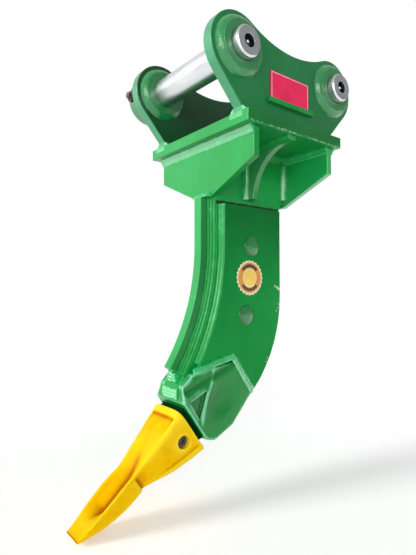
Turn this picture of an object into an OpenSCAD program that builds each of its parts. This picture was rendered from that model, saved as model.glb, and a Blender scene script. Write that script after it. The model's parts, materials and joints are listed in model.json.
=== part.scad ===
// Single-shank excavator ripper: two-ear pin hitch, boxed gusset head, curved laminated shank
// with a front wear bar, weld-on nose adapter and a pinned cast chisel tooth.
// Millimetres. X runs along the hitch pins, the tooth points to -Y, +Z is up.
// The origin is on the front hitch pin's axis, midway between the ears.

/* [Hitch pins] */
// Diameter of both hitch pins
pin_d = 50; // [40:1:56]
// Diametral clearance of a pin in its bosses
pin_fit = 0.4; // [0.2:0.1:1]
// Distance between the pin axes along Y
pin_spacing = 234; // [200:1:280]
// How far the rear pin lies below the front one
rear_pin_drop = 7; // [0:1:20]
// Length of a pin standing out of its right boss
pin_proud = 13; // [6:0.5:20]
// Length of a pin standing out of its left boss
pin_tail = 6; // [3:0.5:12]
// Bevel on the ends of a pin
pin_bevel = 2.5; // [1:0.5:4]
// Diameter of the grease pocket in a pin's right end
pocket_d = 21; // [16:1:26]
// Depth of the grease pocket
pocket_depth = 14; // [10:1:20]
// Diameter of a grease nipple's body
nipple_d = 9; // [6:0.5:12]

/* [Pin locks] */
// Thread diameter of a lock bolt
lock_d = 12; // [8:1:14]
// Width across the flats of its head and nut
lock_flats = 18; // [14:1:22]
// Height of its head and nut
lock_head = 9; // [6:0.5:12]
// Length of thread standing out of its nut
lock_tail = 5; // [2:0.5:8]
// Thickness of its washer
washer_t = 2.5; // [1.5:0.5:4]

/* [Ears] */
// Clear width between the two ears
ear_gap = 205; // [170:1:230]
// Thickness of an ear plate
ear_t = 20; // [16:1:24]
// Radius of an ear's lugs around the pins
lug_r = 57; // [52:1:64]
// Height of the front pin's axis above the base plate
pin_rise = 101; // [90:1:120]
// Height of the saddle's lowest point above the front pin's axis
saddle_rise = 26; // [10:1:34]
// Set-back of an ear's foot from the base plate's ends
foot_set = 4; // [1:0.5:8]
// Height of the upright edges at an ear's foot
foot_h = 9; // [4:1:14]
// Outer diameter of the pin bosses
boss_d = 80; // [74:1:90]
// Length of a boss standing out of an ear's face
boss_proud = 11; // [8:0.5:16]
// Length of the left bosses standing outside their ear, where the lock bolts pass
lock_collar = 34; // [32:1:44]
// Outer diameter of the left bosses outside their ear
collar_d = 90; // [82:1:96]

/* [Name plate] */
// Length of the bare plate on the right ear
plate_l = 96; // [60:1:110]
// Height of the bare plate
plate_h = 48; // [30:1:56]
// Thickness of the bare plate
plate_t = 2; // [1:0.5:4]
// Height of the plate's middle below the front pin's axis
plate_drop = 40; // [34:1:46]
// Length of the ledge bar under the plate
ledge_l = 110; // [70:1:120]
// Side of the ledge bar's square section
ledge_s = 8; // [5:0.5:10]

/* [Base plate] */
// Width of the base plate along the pins
base_w = 284; // [270:1:310]
// Length of the base plate along Y
base_l = 235; // [220:1:260]
// Thickness of the base plate
base_t = 20; // [14:1:26]
// Distance of its front edge behind the front pin's axis
base_front = 1; // [-6:1:8]

/* [Gusset plates] */
// Width of the front and rear gusset plates
gusset_w = 265; // [230:1:268]
// Thickness of a gusset plate
gusset_t = 12; // [8:1:16]
// Set-back of the front gusset's face from the base plate's front edge
gusset_set = 21; // [15:1:26]
// Set-back of the rear gusset's face from the base plate's rear edge
gusset_rear_set = 16; // [10:1:24]
// Height of a gusset's upright side edges
gusset_side = 49; // [35:1:60]
// Height of a gusset plate
gusset_h = 97; // [85:1:105]
// Thickness of the side ribs
rib_t = 12; // [8:1:16]
// Distance of the ribs' front face behind the front pin's axis
rib_y = 105; // [90:1:120]
// Height of a rib
rib_h = 94; // [80:1:100]
// Width of a rib at its lower end
rib_foot = 22; // [14:1:30]
// Set-back of a rib's upper end from the base plate's side edge
rib_set = 5; // [3:1:12]

/* [Shank] */
// Thickness of the core plate
core_t = 44; // [36:1:48]
// Step of the shank's back edge ahead of the rear gusset's inner face
core_step = 12; // [6:1:18]
// Radius of the core's hollow front edge
front_r = 400; // [380:5:430]
// Height of the front curve's start below the front pin's axis
front_start = 305; // [295:1:315]
// Radius of the core's rounded back
back_r = 255; // [240:5:270]
// Height of the back curve's start below the front pin's axis
back_start = 395; // [385:1:405]
// Sweep of the back curve
back_sweep = 43; // [40:1:45]
// Thickness of a cheek plate
cheek_t = 12.5; // [8:0.5:14]
// Set-back of a cheek's edges from the core's edges
cheek_set = 11; // [8:0.5:16]
// Height of a cheek's top edge below the front pin's axis
cheek_top = 229; // [224:1:240]
// Width of the front wear bar
bar_w = 20; // [14:1:24]
// Height of the wear bar ahead of the core
bar_h = 25; // [18:1:30]
// Sweep of the wear bar along the front curve
bar_sweep = 34; // [28:0.5:34]
// Diameter of a plug weld
plug_d = 36; // [24:1:44]
// Crown of a plug weld over its cheek
plug_crown = 4; // [2:0.5:7]
// Distance of the upper plug weld behind the core's front edge
plug_back = 76; // [66:1:86]
// Height of the upper plug weld below the cheek's top edge
plug_drop = 73; // [60:1:80]
// Height of the lower plug weld below the upper one
plug_spacing = 127; // [122:1:134]
// Shift of the lower plug weld ahead of the upper one
plug_shift = 14; // [8:1:20]
// Diameter of the round seal on the right cheek
seal_d = 66; // [40:1:70]
// Thickness of the seal
seal_t = 0.6; // [0.4:0.1:1]
// Distance of the seal's middle behind the core's front edge
seal_back = 70; // [66:1:74]
// Height of the seal's middle below the upper plug weld
seal_drop = 59; // [58:1:62]

/* [Nose adapter] */
// Sweep of the front curve at which the tooth's mouth lies
nose_sweep = 42.6; // [42.2:0.1:43]
// Distance of the tooth's axis behind the front curve, at its mouth
nose_set = 53.7; // [52:0.1:55]
// Slope of the tooth below the horizontal
tooth_tilt = 35; // [33:0.5:37]
// Width over the adapter's two straps
strap_w = 84; // [76:1:90]
// Distance of the shoulder behind the tooth's mouth
shoulder_gap = 11; // [6:0.5:14]
// Length of the solid root behind the shoulder
root_l = 11; // [8:0.5:14]
// Length of a strap behind the tooth's mouth
strap_l = 138; // [128:1:146]
// Height of the shoulder above the tooth's axis
root_up = 45; // [43:0.5:47]
// Depth of the shoulder below the tooth's axis
root_low = 36; // [34:0.5:38]
// Distance of a strap's highest corner behind the mouth
strap_top = 54; // [50:1:58]
// Height of a strap's highest corner above the tooth's axis
strap_rise = 68; // [65:0.5:70]
// Height of a strap's rear edge above the tooth's axis
strap_end_up = 32; // [28:1:36]
// Depth of a strap's rear edge below the tooth's axis
strap_end_low = 43; // [40:1:46]
// Distance of a strap's lowest corner behind the mouth
heel_back = 68; // [62:1:74]
// Depth of a strap's lowest corner below the tooth's axis
heel_low = 61; // [59:0.5:63]
// Depth of the hollow in a strap's outer face
hollow_depth = 7; // [2:0.5:7.5]
// Width of the nose at the mouth
nose_w = 62; // [54:1:66]
// Height of the nose at the mouth
nose_h = 62; // [54:1:64]
// Length of the nose inside the tooth
nose_l = 78; // [66:1:84]
// Width of the nose at its end
nose_tip_w = 40; // [30:1:44]
// Height of the nose at its end
nose_tip_h = 22; // [16:1:26]
// Gap between the nose and the tooth's pocket
nose_gap = 0.3; // [0.2:0.1:0.6]

/* [Tooth] */
// Length of the tooth
tooth_l = 227; // [210:1:245]
// Width of the tooth at its mouth
mouth_w = 84; // [78:1:90]
// Height of the tooth above its axis at the mouth
mouth_top = 41; // [38:0.5:46]
// Depth of the tooth below its axis at the mouth
mouth_bottom = 47; // [42:0.5:50]
// Distance of the waist from the mouth
waist_x = 114; // [105:1:122]
// Width of the box at the waist
waist_w = 51; // [46:1:56]
// Depth of the box below the axis at the waist
waist_bottom = 18; // [16:0.5:20]
// Width of the blade just past the waist
blade_w = 58; // [55:1:62]
// Depth of the blade below the axis just past the waist
blade_bottom = 20; // [18:0.5:24]
// Width of the chisel edge
tip_w = 40; // [30:1:48]
// Swell of the tooth's sides and belly between its ends and the waist
tooth_swell = 3; // [0:0.5:4]
// Half thickness of the chisel edge
tip_half = 2.5; // [1.5:0.5:4]
// Depth of the hollow along the blade's upper face
valley = 10; // [4:0.5:11]
// Height of the raised collar round the mouth
collar_h = 3; // [1.5:0.5:5]
// Length of the raised collar
collar_l = 10; // [6:0.5:14]
// Diameter of the tooth pin
tooth_pin_d = 18; // [14:1:20]
// Diameter of the pin hole in the tooth's sides
tooth_hole_d = 22; // [20.5:0.5:26]
// Distance of the tooth pin from the mouth
tooth_pin_x = 23.5; // [20:0.5:28]
// Depth of the tooth pin's axis below the tooth's axis
tooth_pin_drop = 5.5; // [2:0.5:8]
// Length of the tooth pin
tooth_pin_l = 70; // [62:1:72]
// Outer diameter of the retainer ring in the nose's side
retainer_d = 30; // [26:1:32]
// Thickness of the retainer ring
retainer_t = 7; // [5:0.5:9]

/* [Welds] */
// Leg of the fillets round the bosses
boss_weld = 10; // [6:0.5:11]
// Leg of the fillets along the ears' feet
ear_weld = 10; // [6:0.5:12]
// Height of the fillets under the base plate
gusset_weld = 13; // [8:0.5:14]
// Width of those fillets on the base plate's underside
gusset_weld_w = 8; // [5:0.5:12]
// Leg of the fillets along the ribs' feet
rib_weld = 8; // [5:0.5:10]
// Length of core left bare ahead of the cheek fillets
cheek_bare = 4.5; // [3:0.5:6]

/* [Hidden] */
$fn = 96;
arc_step = 1;              // angle between the points of a long curve
lug_step = 5;              // angle between the points of a lug's outline
fit = 0.3;                 // running gap of small pins and rings
over = 1;                  // run-out of a cut past the face it opens
seam = 0.05;               // gap between a curved fillet and the plates it joins

green = [0.06, 0.50, 0.24];
weld_green = [0.30, 0.72, 0.45];
yellow = [1.0, 0.78, 0.02];
steel = [0.78, 0.79, 0.80];
dark_steel = [0.28, 0.26, 0.26];
red = [0.86, 0.10, 0.26];
paper = [0.95, 0.82, 0.45];

// Hitch
ear_in = ear_gap / 2;
ear_out = ear_in + ear_t;
boss_right = ear_out + boss_proud;
boss_left = ear_out + lock_collar;
pin_right = boss_right + pin_proud;
pin_left = boss_left + pin_tail;
pin_bore = pin_d + pin_fit;
lock_x = -(ear_out + boss_weld + (lock_collar - boss_weld) / 2);
lock_hole = lock_d + fit;
lock_seat = collar_d / 2 - 6;
lock_corner = lock_flats / cos(30);
collar_weld = min(boss_weld, lug_r - collar_d / 2 - 2);
pins = [[0, 0], [pin_spacing, -rear_pin_drop]];

// Base plate and gussets
base_top = -pin_rise;
base_low = base_top - base_t;
base_back = base_front + base_l;
gusset_front = base_front + gusset_set;
gusset_back = base_back - gusset_rear_set;
gusset_low = base_low - gusset_h;

// Saddle arc touching both lugs from above
saddle_k = rear_pin_drop / pin_spacing;
saddle_a = pin_spacing / 2 + rear_pin_drop * rear_pin_drop / (2 * pin_spacing) + saddle_k * saddle_rise;
saddle_b = 2 * lug_r - 2 * saddle_rise - 2 * saddle_a * saddle_k;
saddle_c = saddle_a * saddle_a + saddle_rise * saddle_rise - lug_r * lug_r;
saddle_r = 2 * saddle_c / (saddle_b + sqrt(saddle_b * saddle_b - 4 * saddle_k * saddle_k * saddle_c));
saddle_mid = [saddle_a + saddle_k * saddle_r, saddle_rise + saddle_r];

// Shank curves, as [Y, Z]
core_front = gusset_front + gusset_t;
core_back = gusset_back - gusset_t - core_step;
front_mid = [core_front - front_r, -front_start];
back_mid = [core_back - back_r, -back_start];
core_half = core_t / 2;
cheek_out = core_half + cheek_t;
bar_foot = core_half - bar_w / 2;
foot_bead = ear_weld / 2;  // size of the beads under the ears' front feet
strap_out = strap_w / 2;
plug_spots = [[core_front + plug_back, cheek_top + plug_drop],
    [core_front + plug_back - plug_shift, cheek_top + plug_drop + plug_spacing]];

// Nose frame: Y runs back along the tooth's axis, Z is square to it
root_back = shoulder_gap + root_l;
nose_at = front_mid + (front_r + nose_set) * [cos(nose_sweep), -sin(nose_sweep)];
strap_draft = 2;           // draft of a strap's rear edge
strap_bevel = 5;           // height of the bevel under a strap's outer face
root_top = root_up + 12;   // height of the root's rear edge
root_heel = root_low + 16; // depth of the root's rear edge
hole_y = -tooth_pin_x;
hole_z = -tooth_pin_drop;
nose_slope = (nose_w - nose_tip_w) / 2 / nose_l;
retainer_x = nose_w / 2 - nose_slope * (tooth_pin_x + retainer_d / 2) - retainer_t - fit;

// Points of an arc about mid, from angle a0 to a1
function arc(mid, r, a0, a1, step = arc_step) =
    let (n = max(2, ceil(abs(a1 - a0) / step)))
    [for (i = [0 : n]) let (a = a0 + (a1 - a0) * i / n) mid + r * [cos(a), sin(a)]];

// Angle at which a line from point p touches the circle about mid, on the given side
function touch_angle(p, mid, r, side) =
    let (d = p - mid)
    atan2(d[1], d[0]) + side * acos(r / norm(d));

function angle_of(v) = atan2(v[1], v[0]);

function mix(a, b, t) = a + (b - a) * t;

// Extrudes an outline drawn in [Y, Z] from x0 to x1
module slab(x0, x1) {
    translate([x0, 0, 0])
        rotate([90, 0, 90])
            linear_extrude(x1 - x0)
                children();
}

// A straight fillet along Y: corner at [x, z], legs dx and dz signed
module fillet_y(y0, y1, x, z, dx, dz) {
    translate([0, y1, 0])
        rotate([90, 0, 0])
            linear_extrude(y1 - y0)
                polygon([[x, z], [x + dx, z], [x, z + dz]]);
}

// Moves into the tooth's own frame
module at_nose() {
    translate([0, nose_at[0], nose_at[1]])
        rotate([tooth_tilt, 0, 0])
            children();
}

// Ears and bosses

module ear_outline() {
    foot_front = [base_front + foot_set, base_top + foot_h];
    foot_back = [base_back - foot_set, base_top + foot_h];
    front_touch = touch_angle(foot_front, pins[0], lug_r, -1);
    back_touch = touch_angle(foot_back, pins[1], lug_r, 1);
    to_front = angle_of(saddle_mid - pins[0]);
    to_back = angle_of(saddle_mid - pins[1]);
    polygon(concat(
        [foot_front, [foot_front[0], base_top], [foot_back[0], base_top], foot_back],
        arc(pins[1], lug_r, back_touch, to_back, lug_step),
        arc(saddle_mid, saddle_r, to_back - 180, to_front - 180, arc_step),
        arc(pins[0], lug_r, to_front, front_touch + 360, lug_step)));
}

module ear(x0) {
    color(green)
        difference() {
            slab(x0, x0 + ear_t)
                ear_outline();
            for (p = pins)
                translate([x0 - over, p[0], p[1]])
                    rotate([0, 90, 0])
                        cylinder(d = boss_d, h = ear_t + 2 * over);
        }
}

module ear_right() {
    ear(ear_in);
}

module ear_left() {
    ear(-ear_out);
}

module boss_tube(p, x0, x1, d) {
    translate([x0, p[0], p[1]])
        rotate([0, 90, 0])
            difference() {
                cylinder(d = d, h = x1 - x0);
                translate([0, 0, -over])
                    cylinder(d = pin_bore, h = x1 - x0 + 2 * over);
            }
}

module right_boss(p) {
    color(green)
        boss_tube(p, ear_in - boss_proud, boss_right, boss_d);
}

// A left boss has flats and a cross hole for its lock bolt
module left_boss(p) {
    color(green)
        difference() {
            union() {
                boss_tube(p, -ear_out, boss_proud - ear_in, boss_d);
                boss_tube(p, -boss_left, -ear_out, collar_d);
            }
            translate([lock_x, p[0], p[1]])
                rotate([90, 0, 0]) {
                    cylinder(d = lock_hole, h = collar_d + 2 * over, center = true);
                    for (side = [-1, 1])
                        translate([0, 0, side * (lock_seat + collar_d / 2)])
                            cylinder(d = lock_corner + 2 * over, h = collar_d, center = true);
                }
        }
}

module boss_front_right() {
    right_boss(pins[0]);
}

module boss_front_left() {
    left_boss(pins[0]);
}

module boss_rear_right() {
    right_boss(pins[1]);
}

module boss_rear_left() {
    left_boss(pins[1]);
}

// Hitch pins, nipples and locks

module hitch_pin(p) {
    r = pin_d / 2;
    color(steel)
        difference() {
            translate([-pin_left, p[0], p[1]])
                rotate([0, 90, 0])
                    rotate_extrude()
                        polygon([[0, 0], [r - pin_bevel, 0], [r, pin_bevel],
                            [r, pin_left + pin_right - pin_bevel],
                            [r - pin_bevel, pin_left + pin_right], [0, pin_left + pin_right]]);
            translate([pin_right - pocket_depth, p[0], p[1]])
                rotate([0, 90, 0])
                    cylinder(d = pocket_d, h = pocket_depth + over);
            translate([lock_x, p[0], p[1]])
                rotate([90, 0, 0])
                    cylinder(d = lock_hole, h = pin_d + 2 * over, center = true);
        }
}

module front_pin() {
    hitch_pin(pins[0]);
}

module rear_pin() {
    hitch_pin(pins[1]);
}

// A nipple is a flanged body, a waist and a rounded head
module grease_nipples() {
    body = pocket_depth * 0.4;
    waist = pocket_depth * 0.6;
    head = nipple_d * 0.36;
    color(steel)
        for (p = pins)
            translate([pin_right - pocket_depth, p[0], p[1]])
                rotate([0, 90, 0])
                    union() {
                        cylinder(d = nipple_d, h = body);
                        cylinder(d = nipple_d * 0.55, h = waist);
                        translate([0, 0, waist])
                            sphere(r = head);
                    }
}

module lock_axis(p) {
    translate([lock_x, p[0], p[1]])
        rotate([90, 0, 0])
            children();
}

// The head bears on the boss's rear flat, the thread comes out at the front
module pin_lock_bolts() {
    reach = lock_seat + washer_t + lock_head + lock_tail;
    color(dark_steel)
        for (p = pins)
            lock_axis(p)
                union() {
                    translate([0, 0, -lock_seat])
                        cylinder(d = lock_d, h = lock_seat + reach);
                    translate([0, 0, -lock_seat - lock_head])
                        cylinder(d = lock_corner, h = lock_head, $fn = 6);
                }
}

module pin_lock_washers() {
    color(dark_steel)
        for (p = pins)
            lock_axis(p)
                translate([0, 0, lock_seat])
                    difference() {
                        cylinder(d = lock_corner, h = washer_t);
                        translate([0, 0, -over])
                            cylinder(d = lock_hole, h = washer_t + 2 * over);
                    }
}

module pin_lock_nuts() {
    color(dark_steel)
        for (p = pins)
            lock_axis(p)
                translate([0, 0, lock_seat + washer_t])
                    difference() {
                        cylinder(d = lock_corner, h = lock_head, $fn = 6);
                        translate([0, 0, -over])
                            cylinder(d = lock_hole, h = lock_head + 2 * over);
                    }
}

module name_plate() {
    color(red)
        translate([ear_out, pin_spacing / 2 - plate_l / 2, -plate_drop - plate_h / 2])
            cube([plate_t, plate_l, plate_h]);
}

module plate_ledge() {
    ledge_top = -plate_drop - plate_h / 2 - ledge_s;
    color(green)
        translate([ear_out, pin_spacing / 2 - ledge_l / 2, ledge_top])
            cube([ledge_s, ledge_l, ledge_s]);
}

// Base plate, gussets and ribs

module base_plate() {
    color(green)
        translate([-base_w / 2, base_front, base_low])
            cube([base_w, base_l, base_t]);
}

// A gusset narrows below its upright sides to the core's thickness
module gusset(y0) {
    half = gusset_w / 2;
    color(green)
        translate([0, y0 + gusset_t, 0])
            rotate([90, 0, 0])
                linear_extrude(gusset_t)
                    polygon([[-half, base_low], [-half, base_low - gusset_side],
                        [-core_half, gusset_low], [core_half, gusset_low],
                        [half, base_low - gusset_side], [half, base_low]]);
}

module front_gusset() {
    gusset(gusset_front);
}

module rear_gusset() {
    gusset(gusset_back - gusset_t);
}

// A rib's free edge is an arc that leaves its foot upright
module rib() {
    tip = [base_w / 2 - rib_set, base_low - gusset_weld_w];
    foot = [core_half + rib_foot, base_low - rib_h];
    d = tip - foot;
    r = (d[0] * d[0] + d[1] * d[1]) / (2 * d[0]);
    mid = [foot[0] + r, foot[1]];
    color(green)
        translate([0, rib_y + rib_t, 0])
            rotate([90, 0, 0])
                linear_extrude(rib_t)
                    polygon(concat([[core_half, base_low], [core_half, foot[1]]],
                        arc(mid, r, 180, angle_of(tip - mid), lug_step),
                        [[tip[0], base_low]]));
}

module rib_right() {
    rib();
}

module rib_left() {
    mirror([1, 0, 0])
        rib();
}

// Shank

// Outline between the front and back curves, both moved in by inset
module shank_outline(inset, top) {
    back_a = [for (p = arc(back_mid, back_r - inset, -back_sweep, 0)) p];
    run_out = back_a[0] + 260 * [-sin(back_sweep), -cos(back_sweep)];
    front_a = arc(front_mid, front_r + inset, 0, -50);
    polygon(concat([[core_front + inset, top]], front_a, [run_out], back_a,
        [[core_back - inset, top]]));
}

// The core reaches up between the gussets to the base plate
module shank_core() {
    step_z = gusset_low - 8;
    color(green)
        difference() {
            union() {
                slab(-core_half, core_half)
                    shank_outline(0, base_low);
                slab(-core_half, core_half)
                    polygon([[core_back, base_low], [core_back, step_z],
                        [gusset_back - gusset_t, gusset_low + 12], [gusset_back - gusset_t, base_low]]);
            }
            at_nose() {
                translate([-strap_w, -strap_l * 2, -strap_l * 2])
                    cube([strap_w * 2, strap_l * 2 + root_back, strap_l * 4]);
                translate([-strap_w, 0, 0])
                    rotate([90, 0, 90])
                        linear_extrude(strap_w * 2)
                            polygon([[strap_l, -strap_l], [strap_l, over - heel_low],
                                [heel_back, over - heel_low], [root_back, -root_heel],
                                [0, -root_heel], [0, -strap_l]]);
            }
        }
}

module wear_bar() {
    front_low = arc(front_mid, front_r - bar_h, -bar_sweep, 0);
    back_low = arc(front_mid, front_r, 0, -bar_sweep);
    color(green)
        slab(-bar_w / 2, bar_w / 2)
            polygon(concat(front_low, [[core_front - bar_h, gusset_low], [core_front, gusset_low]],
                back_low));
}

// A strap's outline in the nose frame, as [back, up]
module strap_outline() {
    polygon([[shoulder_gap, root_up], [root_back + 6, strap_rise - 4], [strap_top, strap_rise],
        [strap_l, strap_end_up], [strap_l, -strap_end_low], [heel_back, -heel_low],
        [root_back + 2, -root_heel - 1], [shoulder_gap, -root_low]]);
}

// Its outer face, inside the bevels along the front and rear edges
module strap_face() {
    polygon([[shoulder_gap, root_up], [strap_l - 32, root_up - 2],
        [strap_l - strap_draft, strap_end_up - strap_draft],
        [strap_l - strap_draft, strap_draft - strap_end_low], [heel_back, strap_bevel - heel_low],
        [root_back + 2, strap_bevel - 2 - root_heel], [shoulder_gap, -root_low]]);
}

module cheek() {
    color(green)
        difference() {
            slab(core_half, cheek_out)
                intersection() {
                    shank_outline(cheek_set, -cheek_top);
                    translate([core_front - front_r, nose_at[1]])
                        square([front_r * 2, -nose_at[1] - cheek_top]);
                }
            at_nose()
                translate([core_half - over, 0, 0])
                    rotate([90, 0, 90])
                        linear_extrude(cheek_t + 2 * over)
                            strap_outline();
            at_nose() {
                translate([core_half - over, -strap_l * 2, -strap_l * 2])
                    cube([cheek_t + 2 * over, strap_l * 2 + strap_top, strap_l * 4]);
                translate([core_half - over, 0, -strap_l])
                    cube([cheek_t + 2 * over, strap_l, strap_l]);
            }
            for (s = plug_spots)
                translate([core_half - over, s[0], -s[1]])
                    rotate([0, 90, 0])
                        cylinder(d = plug_d, h = cheek_t + 2 * over);
        }
}

module cheek_right() {
    cheek();
}

module cheek_left() {
    mirror([1, 0, 0])
        cheek();
}

// A plug fills its hole in the cheek and crowns over it
module plug_welds() {
    crown_r = (plug_d * plug_d / 4 + plug_crown * plug_crown) / (2 * plug_crown);
    color(weld_green)
        for (side = [0, 1])
            mirror([side, 0, 0])
                for (s = plug_spots)
                    translate([core_half, s[0], -s[1]])
                        rotate([0, 90, 0])
                            intersection() {
                                cylinder(d = plug_d, h = cheek_t + plug_crown);
                                translate([0, 0, cheek_t + plug_crown - crown_r])
                                    sphere(r = crown_r);
                            }
}

// Nose adapter and tooth

// A tapered block along the tooth's axis, from the shoulder into the tooth
module nose_block(gap, start) {
    grow = (nose_w - nose_tip_w) / 2 / nose_l;
    rise = (nose_h - nose_tip_h) / 2 / nose_l;
    hull() {
        translate([-nose_w / 2 - gap - grow * start, start, -nose_h / 2 - gap - rise * start])
            cube([nose_w + 2 * gap + 2 * grow * start, 0.01, nose_h + 2 * gap + 2 * rise * start]);
        translate([-nose_tip_w / 2 - gap, -nose_l - gap, -nose_tip_h / 2 - gap])
            cube([nose_tip_w + 2 * gap, 0.01, nose_tip_h + 2 * gap]);
    }
}

module strap_body() {
    hull() {
        translate([core_half, 0, 0])
            rotate([90, 0, 90])
                linear_extrude(cheek_t)
                    strap_outline();
        translate([strap_out - 0.5, 0, 0])
            rotate([90, 0, 90])
                linear_extrude(0.5)
                    strap_face();
    }
}

// Three-cornered hollow cast into a strap's outer face
module strap_hollow() {
    translate([strap_out - hollow_depth, 0, 0])
        rotate([90, 0, 90])
            linear_extrude(hollow_depth + over)
                polygon([[shoulder_gap + 11, root_up - 8], [shoulder_gap + 49, root_up - 15],
                    [shoulder_gap + 10, 0]]);
}

module nose_adapter() {
    color(green)
        at_nose()
            difference() {
                union() {
                    strap_body();
                    mirror([1, 0, 0])
                        strap_body();
                    translate([-core_half, 0, 0])
                        rotate([90, 0, 90])
                            linear_extrude(core_t)
                                polygon([[shoulder_gap, root_up], [root_back, root_top],
                                    [root_back, -root_heel], [shoulder_gap, -root_low]]);
                    nose_block(0, shoulder_gap);
                }
                strap_hollow();
                mirror([1, 0, 0])
                    strap_hollow();
                translate([0, hole_y, hole_z])
                    rotate([0, 90, 0])
                        cylinder(d = tooth_pin_d + fit, h = strap_w, center = true);
                translate([retainer_x, hole_y, hole_z])
                    rotate([0, 90, 0])
                        cylinder(d = retainer_d + fit, h = strap_w);
            }
}

// Half width, top and bottom of the tooth at distance a from its mouth
function box_t(a) = a / waist_x;
function blade_t(a) = (a - waist_x) / (tooth_l - waist_x);
function swell(a) = tooth_swell * sin(180 * (a < waist_x ? box_t(a) : blade_t(a)));
function tooth_half(a) = swell(a) + (a < waist_x
    ? mix(mouth_w, waist_w, box_t(a))
    : mix(blade_w, tip_w, blade_t(a))) / 2;
function tooth_rise(a) = swell(a) * 0.8 + tip_half + (mouth_top - tip_half) * pow(1 - a / tooth_l, 1.6);
function tooth_depth(a) = swell(a) + (a < waist_x
    ? mix(mouth_bottom, waist_bottom, box_t(a))
    : tip_half + (blade_bottom - tip_half) * (1 - pow(blade_t(a), 2.2)));
function collar_at(a) = collar_h * max(0, min(1, (collar_l + 4 - a) / 4));
function valley_at(a) =
    let (t = max(0, min(1, (a - 40) / (tooth_l - 52))))
    valley * pow(sin(180 * t), 2);
function squareness(a) = mix(0.15, 0.22, a / tooth_l);

// One ring of the tooth's skin: a rounded box, hollowed along its upper face
function tooth_ring(a, sides) =
    let (hw = tooth_half(a), up = tooth_rise(a) + collar_at(a) - collar_h, low = tooth_depth(a),
        p = squareness(a))
    [for (i = [0 : sides - 1])
        let (t = 360 * i / sides, c = cos(t), s = sin(t),
            x = hw * sign(c) * pow(abs(c), p), z = sign(s) * pow(abs(s), p),
            dip = valley_at(a) * pow(max(0, 1 - x * x / (hw * hw)), 0.9) * (s > 0 ? 1 : 0))
        [x, -a, s > 0 ? z * up - dip : z * low]];

tooth_rings = concat([0, collar_l, collar_l + 4], [for (a = [26 : 14 : waist_x - 8]) a],
    [waist_x - 0.5, waist_x + 3], [for (t = [0.15 : 0.14 : 0.85]) mix(waist_x, tooth_l, t)], [tooth_l]);

module tooth_skin() {
    sides = 32;
    rings = len(tooth_rings);
    points = [for (a = tooth_rings) each tooth_ring(a, sides)];
    walls = [for (r = [0 : rings - 2]) for (i = [0 : sides - 1])
        let (j = (i + 1) % sides)
        each [[r * sides + i, (r + 1) * sides + j, r * sides + j],
            [r * sides + i, (r + 1) * sides + i, (r + 1) * sides + j]]];
    mouth = [for (i = [0 : sides - 1]) i];
    tip = [for (i = [sides - 1 : -1 : 0]) (rings - 1) * sides + i];
    polyhedron(points, concat(walls, [mouth, tip]), convexity = 6);
}

module tooth() {
    color(yellow)
        at_nose()
            difference() {
                tooth_skin();
                nose_block(nose_gap, over);
                translate([0, hole_y, hole_z])
                    rotate([0, 90, 0])
                        cylinder(d = tooth_hole_d, h = mouth_w + 2 * over, center = true);
            }
}

module tooth_pin() {
    color(dark_steel)
        at_nose()
            translate([0, hole_y, hole_z])
                rotate([0, 90, 0])
                    difference() {
                        cylinder(d = tooth_pin_d, h = tooth_pin_l, center = true);
                        translate([0, 0, tooth_pin_l / 2 - 3])
                            cylinder(d = tooth_pin_d / 2, h = 3 + over);
                    }
}

module tooth_retainer() {
    color(dark_steel)
        at_nose()
            translate([retainer_x, hole_y, hole_z])
                rotate([0, 90, 0])
                    difference() {
                        cylinder(d = retainer_d, h = retainer_t);
                        translate([0, 0, -over])
                            cylinder(d = tooth_pin_d + fit, h = retainer_t + 2 * over);
                    }
}

// Weld fillets

module boss_ring(p, x, side, d, leg) {
    translate([x, p[0], p[1]])
        rotate([0, 90 * side, 0])
            rotate_extrude()
                polygon([[d / 2, 0], [d / 2 + leg, 0], [d / 2, leg]]);
}

module boss_welds() {
    color(weld_green)
        for (p = pins) {
            boss_ring(p, ear_out, 1, boss_d, boss_weld);
            boss_ring(p, ear_in, -1, boss_d, boss_weld);
            boss_ring(p, -ear_in, 1, boss_d, boss_weld);
            boss_ring(p, -ear_out, -1, collar_d, collar_weld);
        }
}

module ear_welds() {
    y0 = base_front + foot_set;
    y1 = base_back - foot_set;
    reach = min(ear_weld, base_w / 2 - ear_out);
    color(weld_green)
        for (side = [0, 1])
            mirror([side, 0, 0]) {
                fillet_y(y0, y1, ear_out, base_top, reach, ear_weld);
                fillet_y(y0, y1, ear_in, base_top, -ear_weld, ear_weld);
                slab(ear_in - ear_weld / 2, ear_out + ear_weld / 2)
                    polygon([[base_front, base_top], [base_front - foot_bead, base_top - 1],
                        [base_front - foot_bead / 2, base_top - foot_bead * 1.6],
                        [base_front, base_top - foot_bead * 1.6]]);
            }
}

// Fillets between the gussets and the base plate's underside, on their outer faces
// and on the inner face of the rear one, each side of the core
module gusset_welds() {
    half = gusset_w / 2;
    color(weld_green) {
        rotate([90, 0, 90])
            translate([0, 0, -half])
                linear_extrude(2 * half) {
                    polygon([[gusset_front, base_low], [gusset_front - gusset_weld_w, base_low],
                        [gusset_front, base_low - gusset_weld]]);
                    polygon([[gusset_back, base_low], [gusset_back, base_low - gusset_weld],
                        [gusset_back + gusset_weld_w, base_low]]);
                }
        inner = gusset_back - gusset_t;
        for (side = [0, 1])
            mirror([side, 0, 0])
                translate([core_half, 0, 0])
                    rotate([90, 0, 90])
                        linear_extrude(half - core_half)
                            polygon([[inner, base_low], [inner - gusset_weld_w, base_low],
                                [inner, base_low - gusset_weld]]);
    }
}

// Upright fillets where the ribs and the rear gusset meet the core
module upright_fillet(y, dy, z0, z1) {
    translate([core_half, y, z0])
        linear_extrude(z1 - z0)
            polygon([[0, 0], [rib_weld, 0], [0, dy]]);
}

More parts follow.
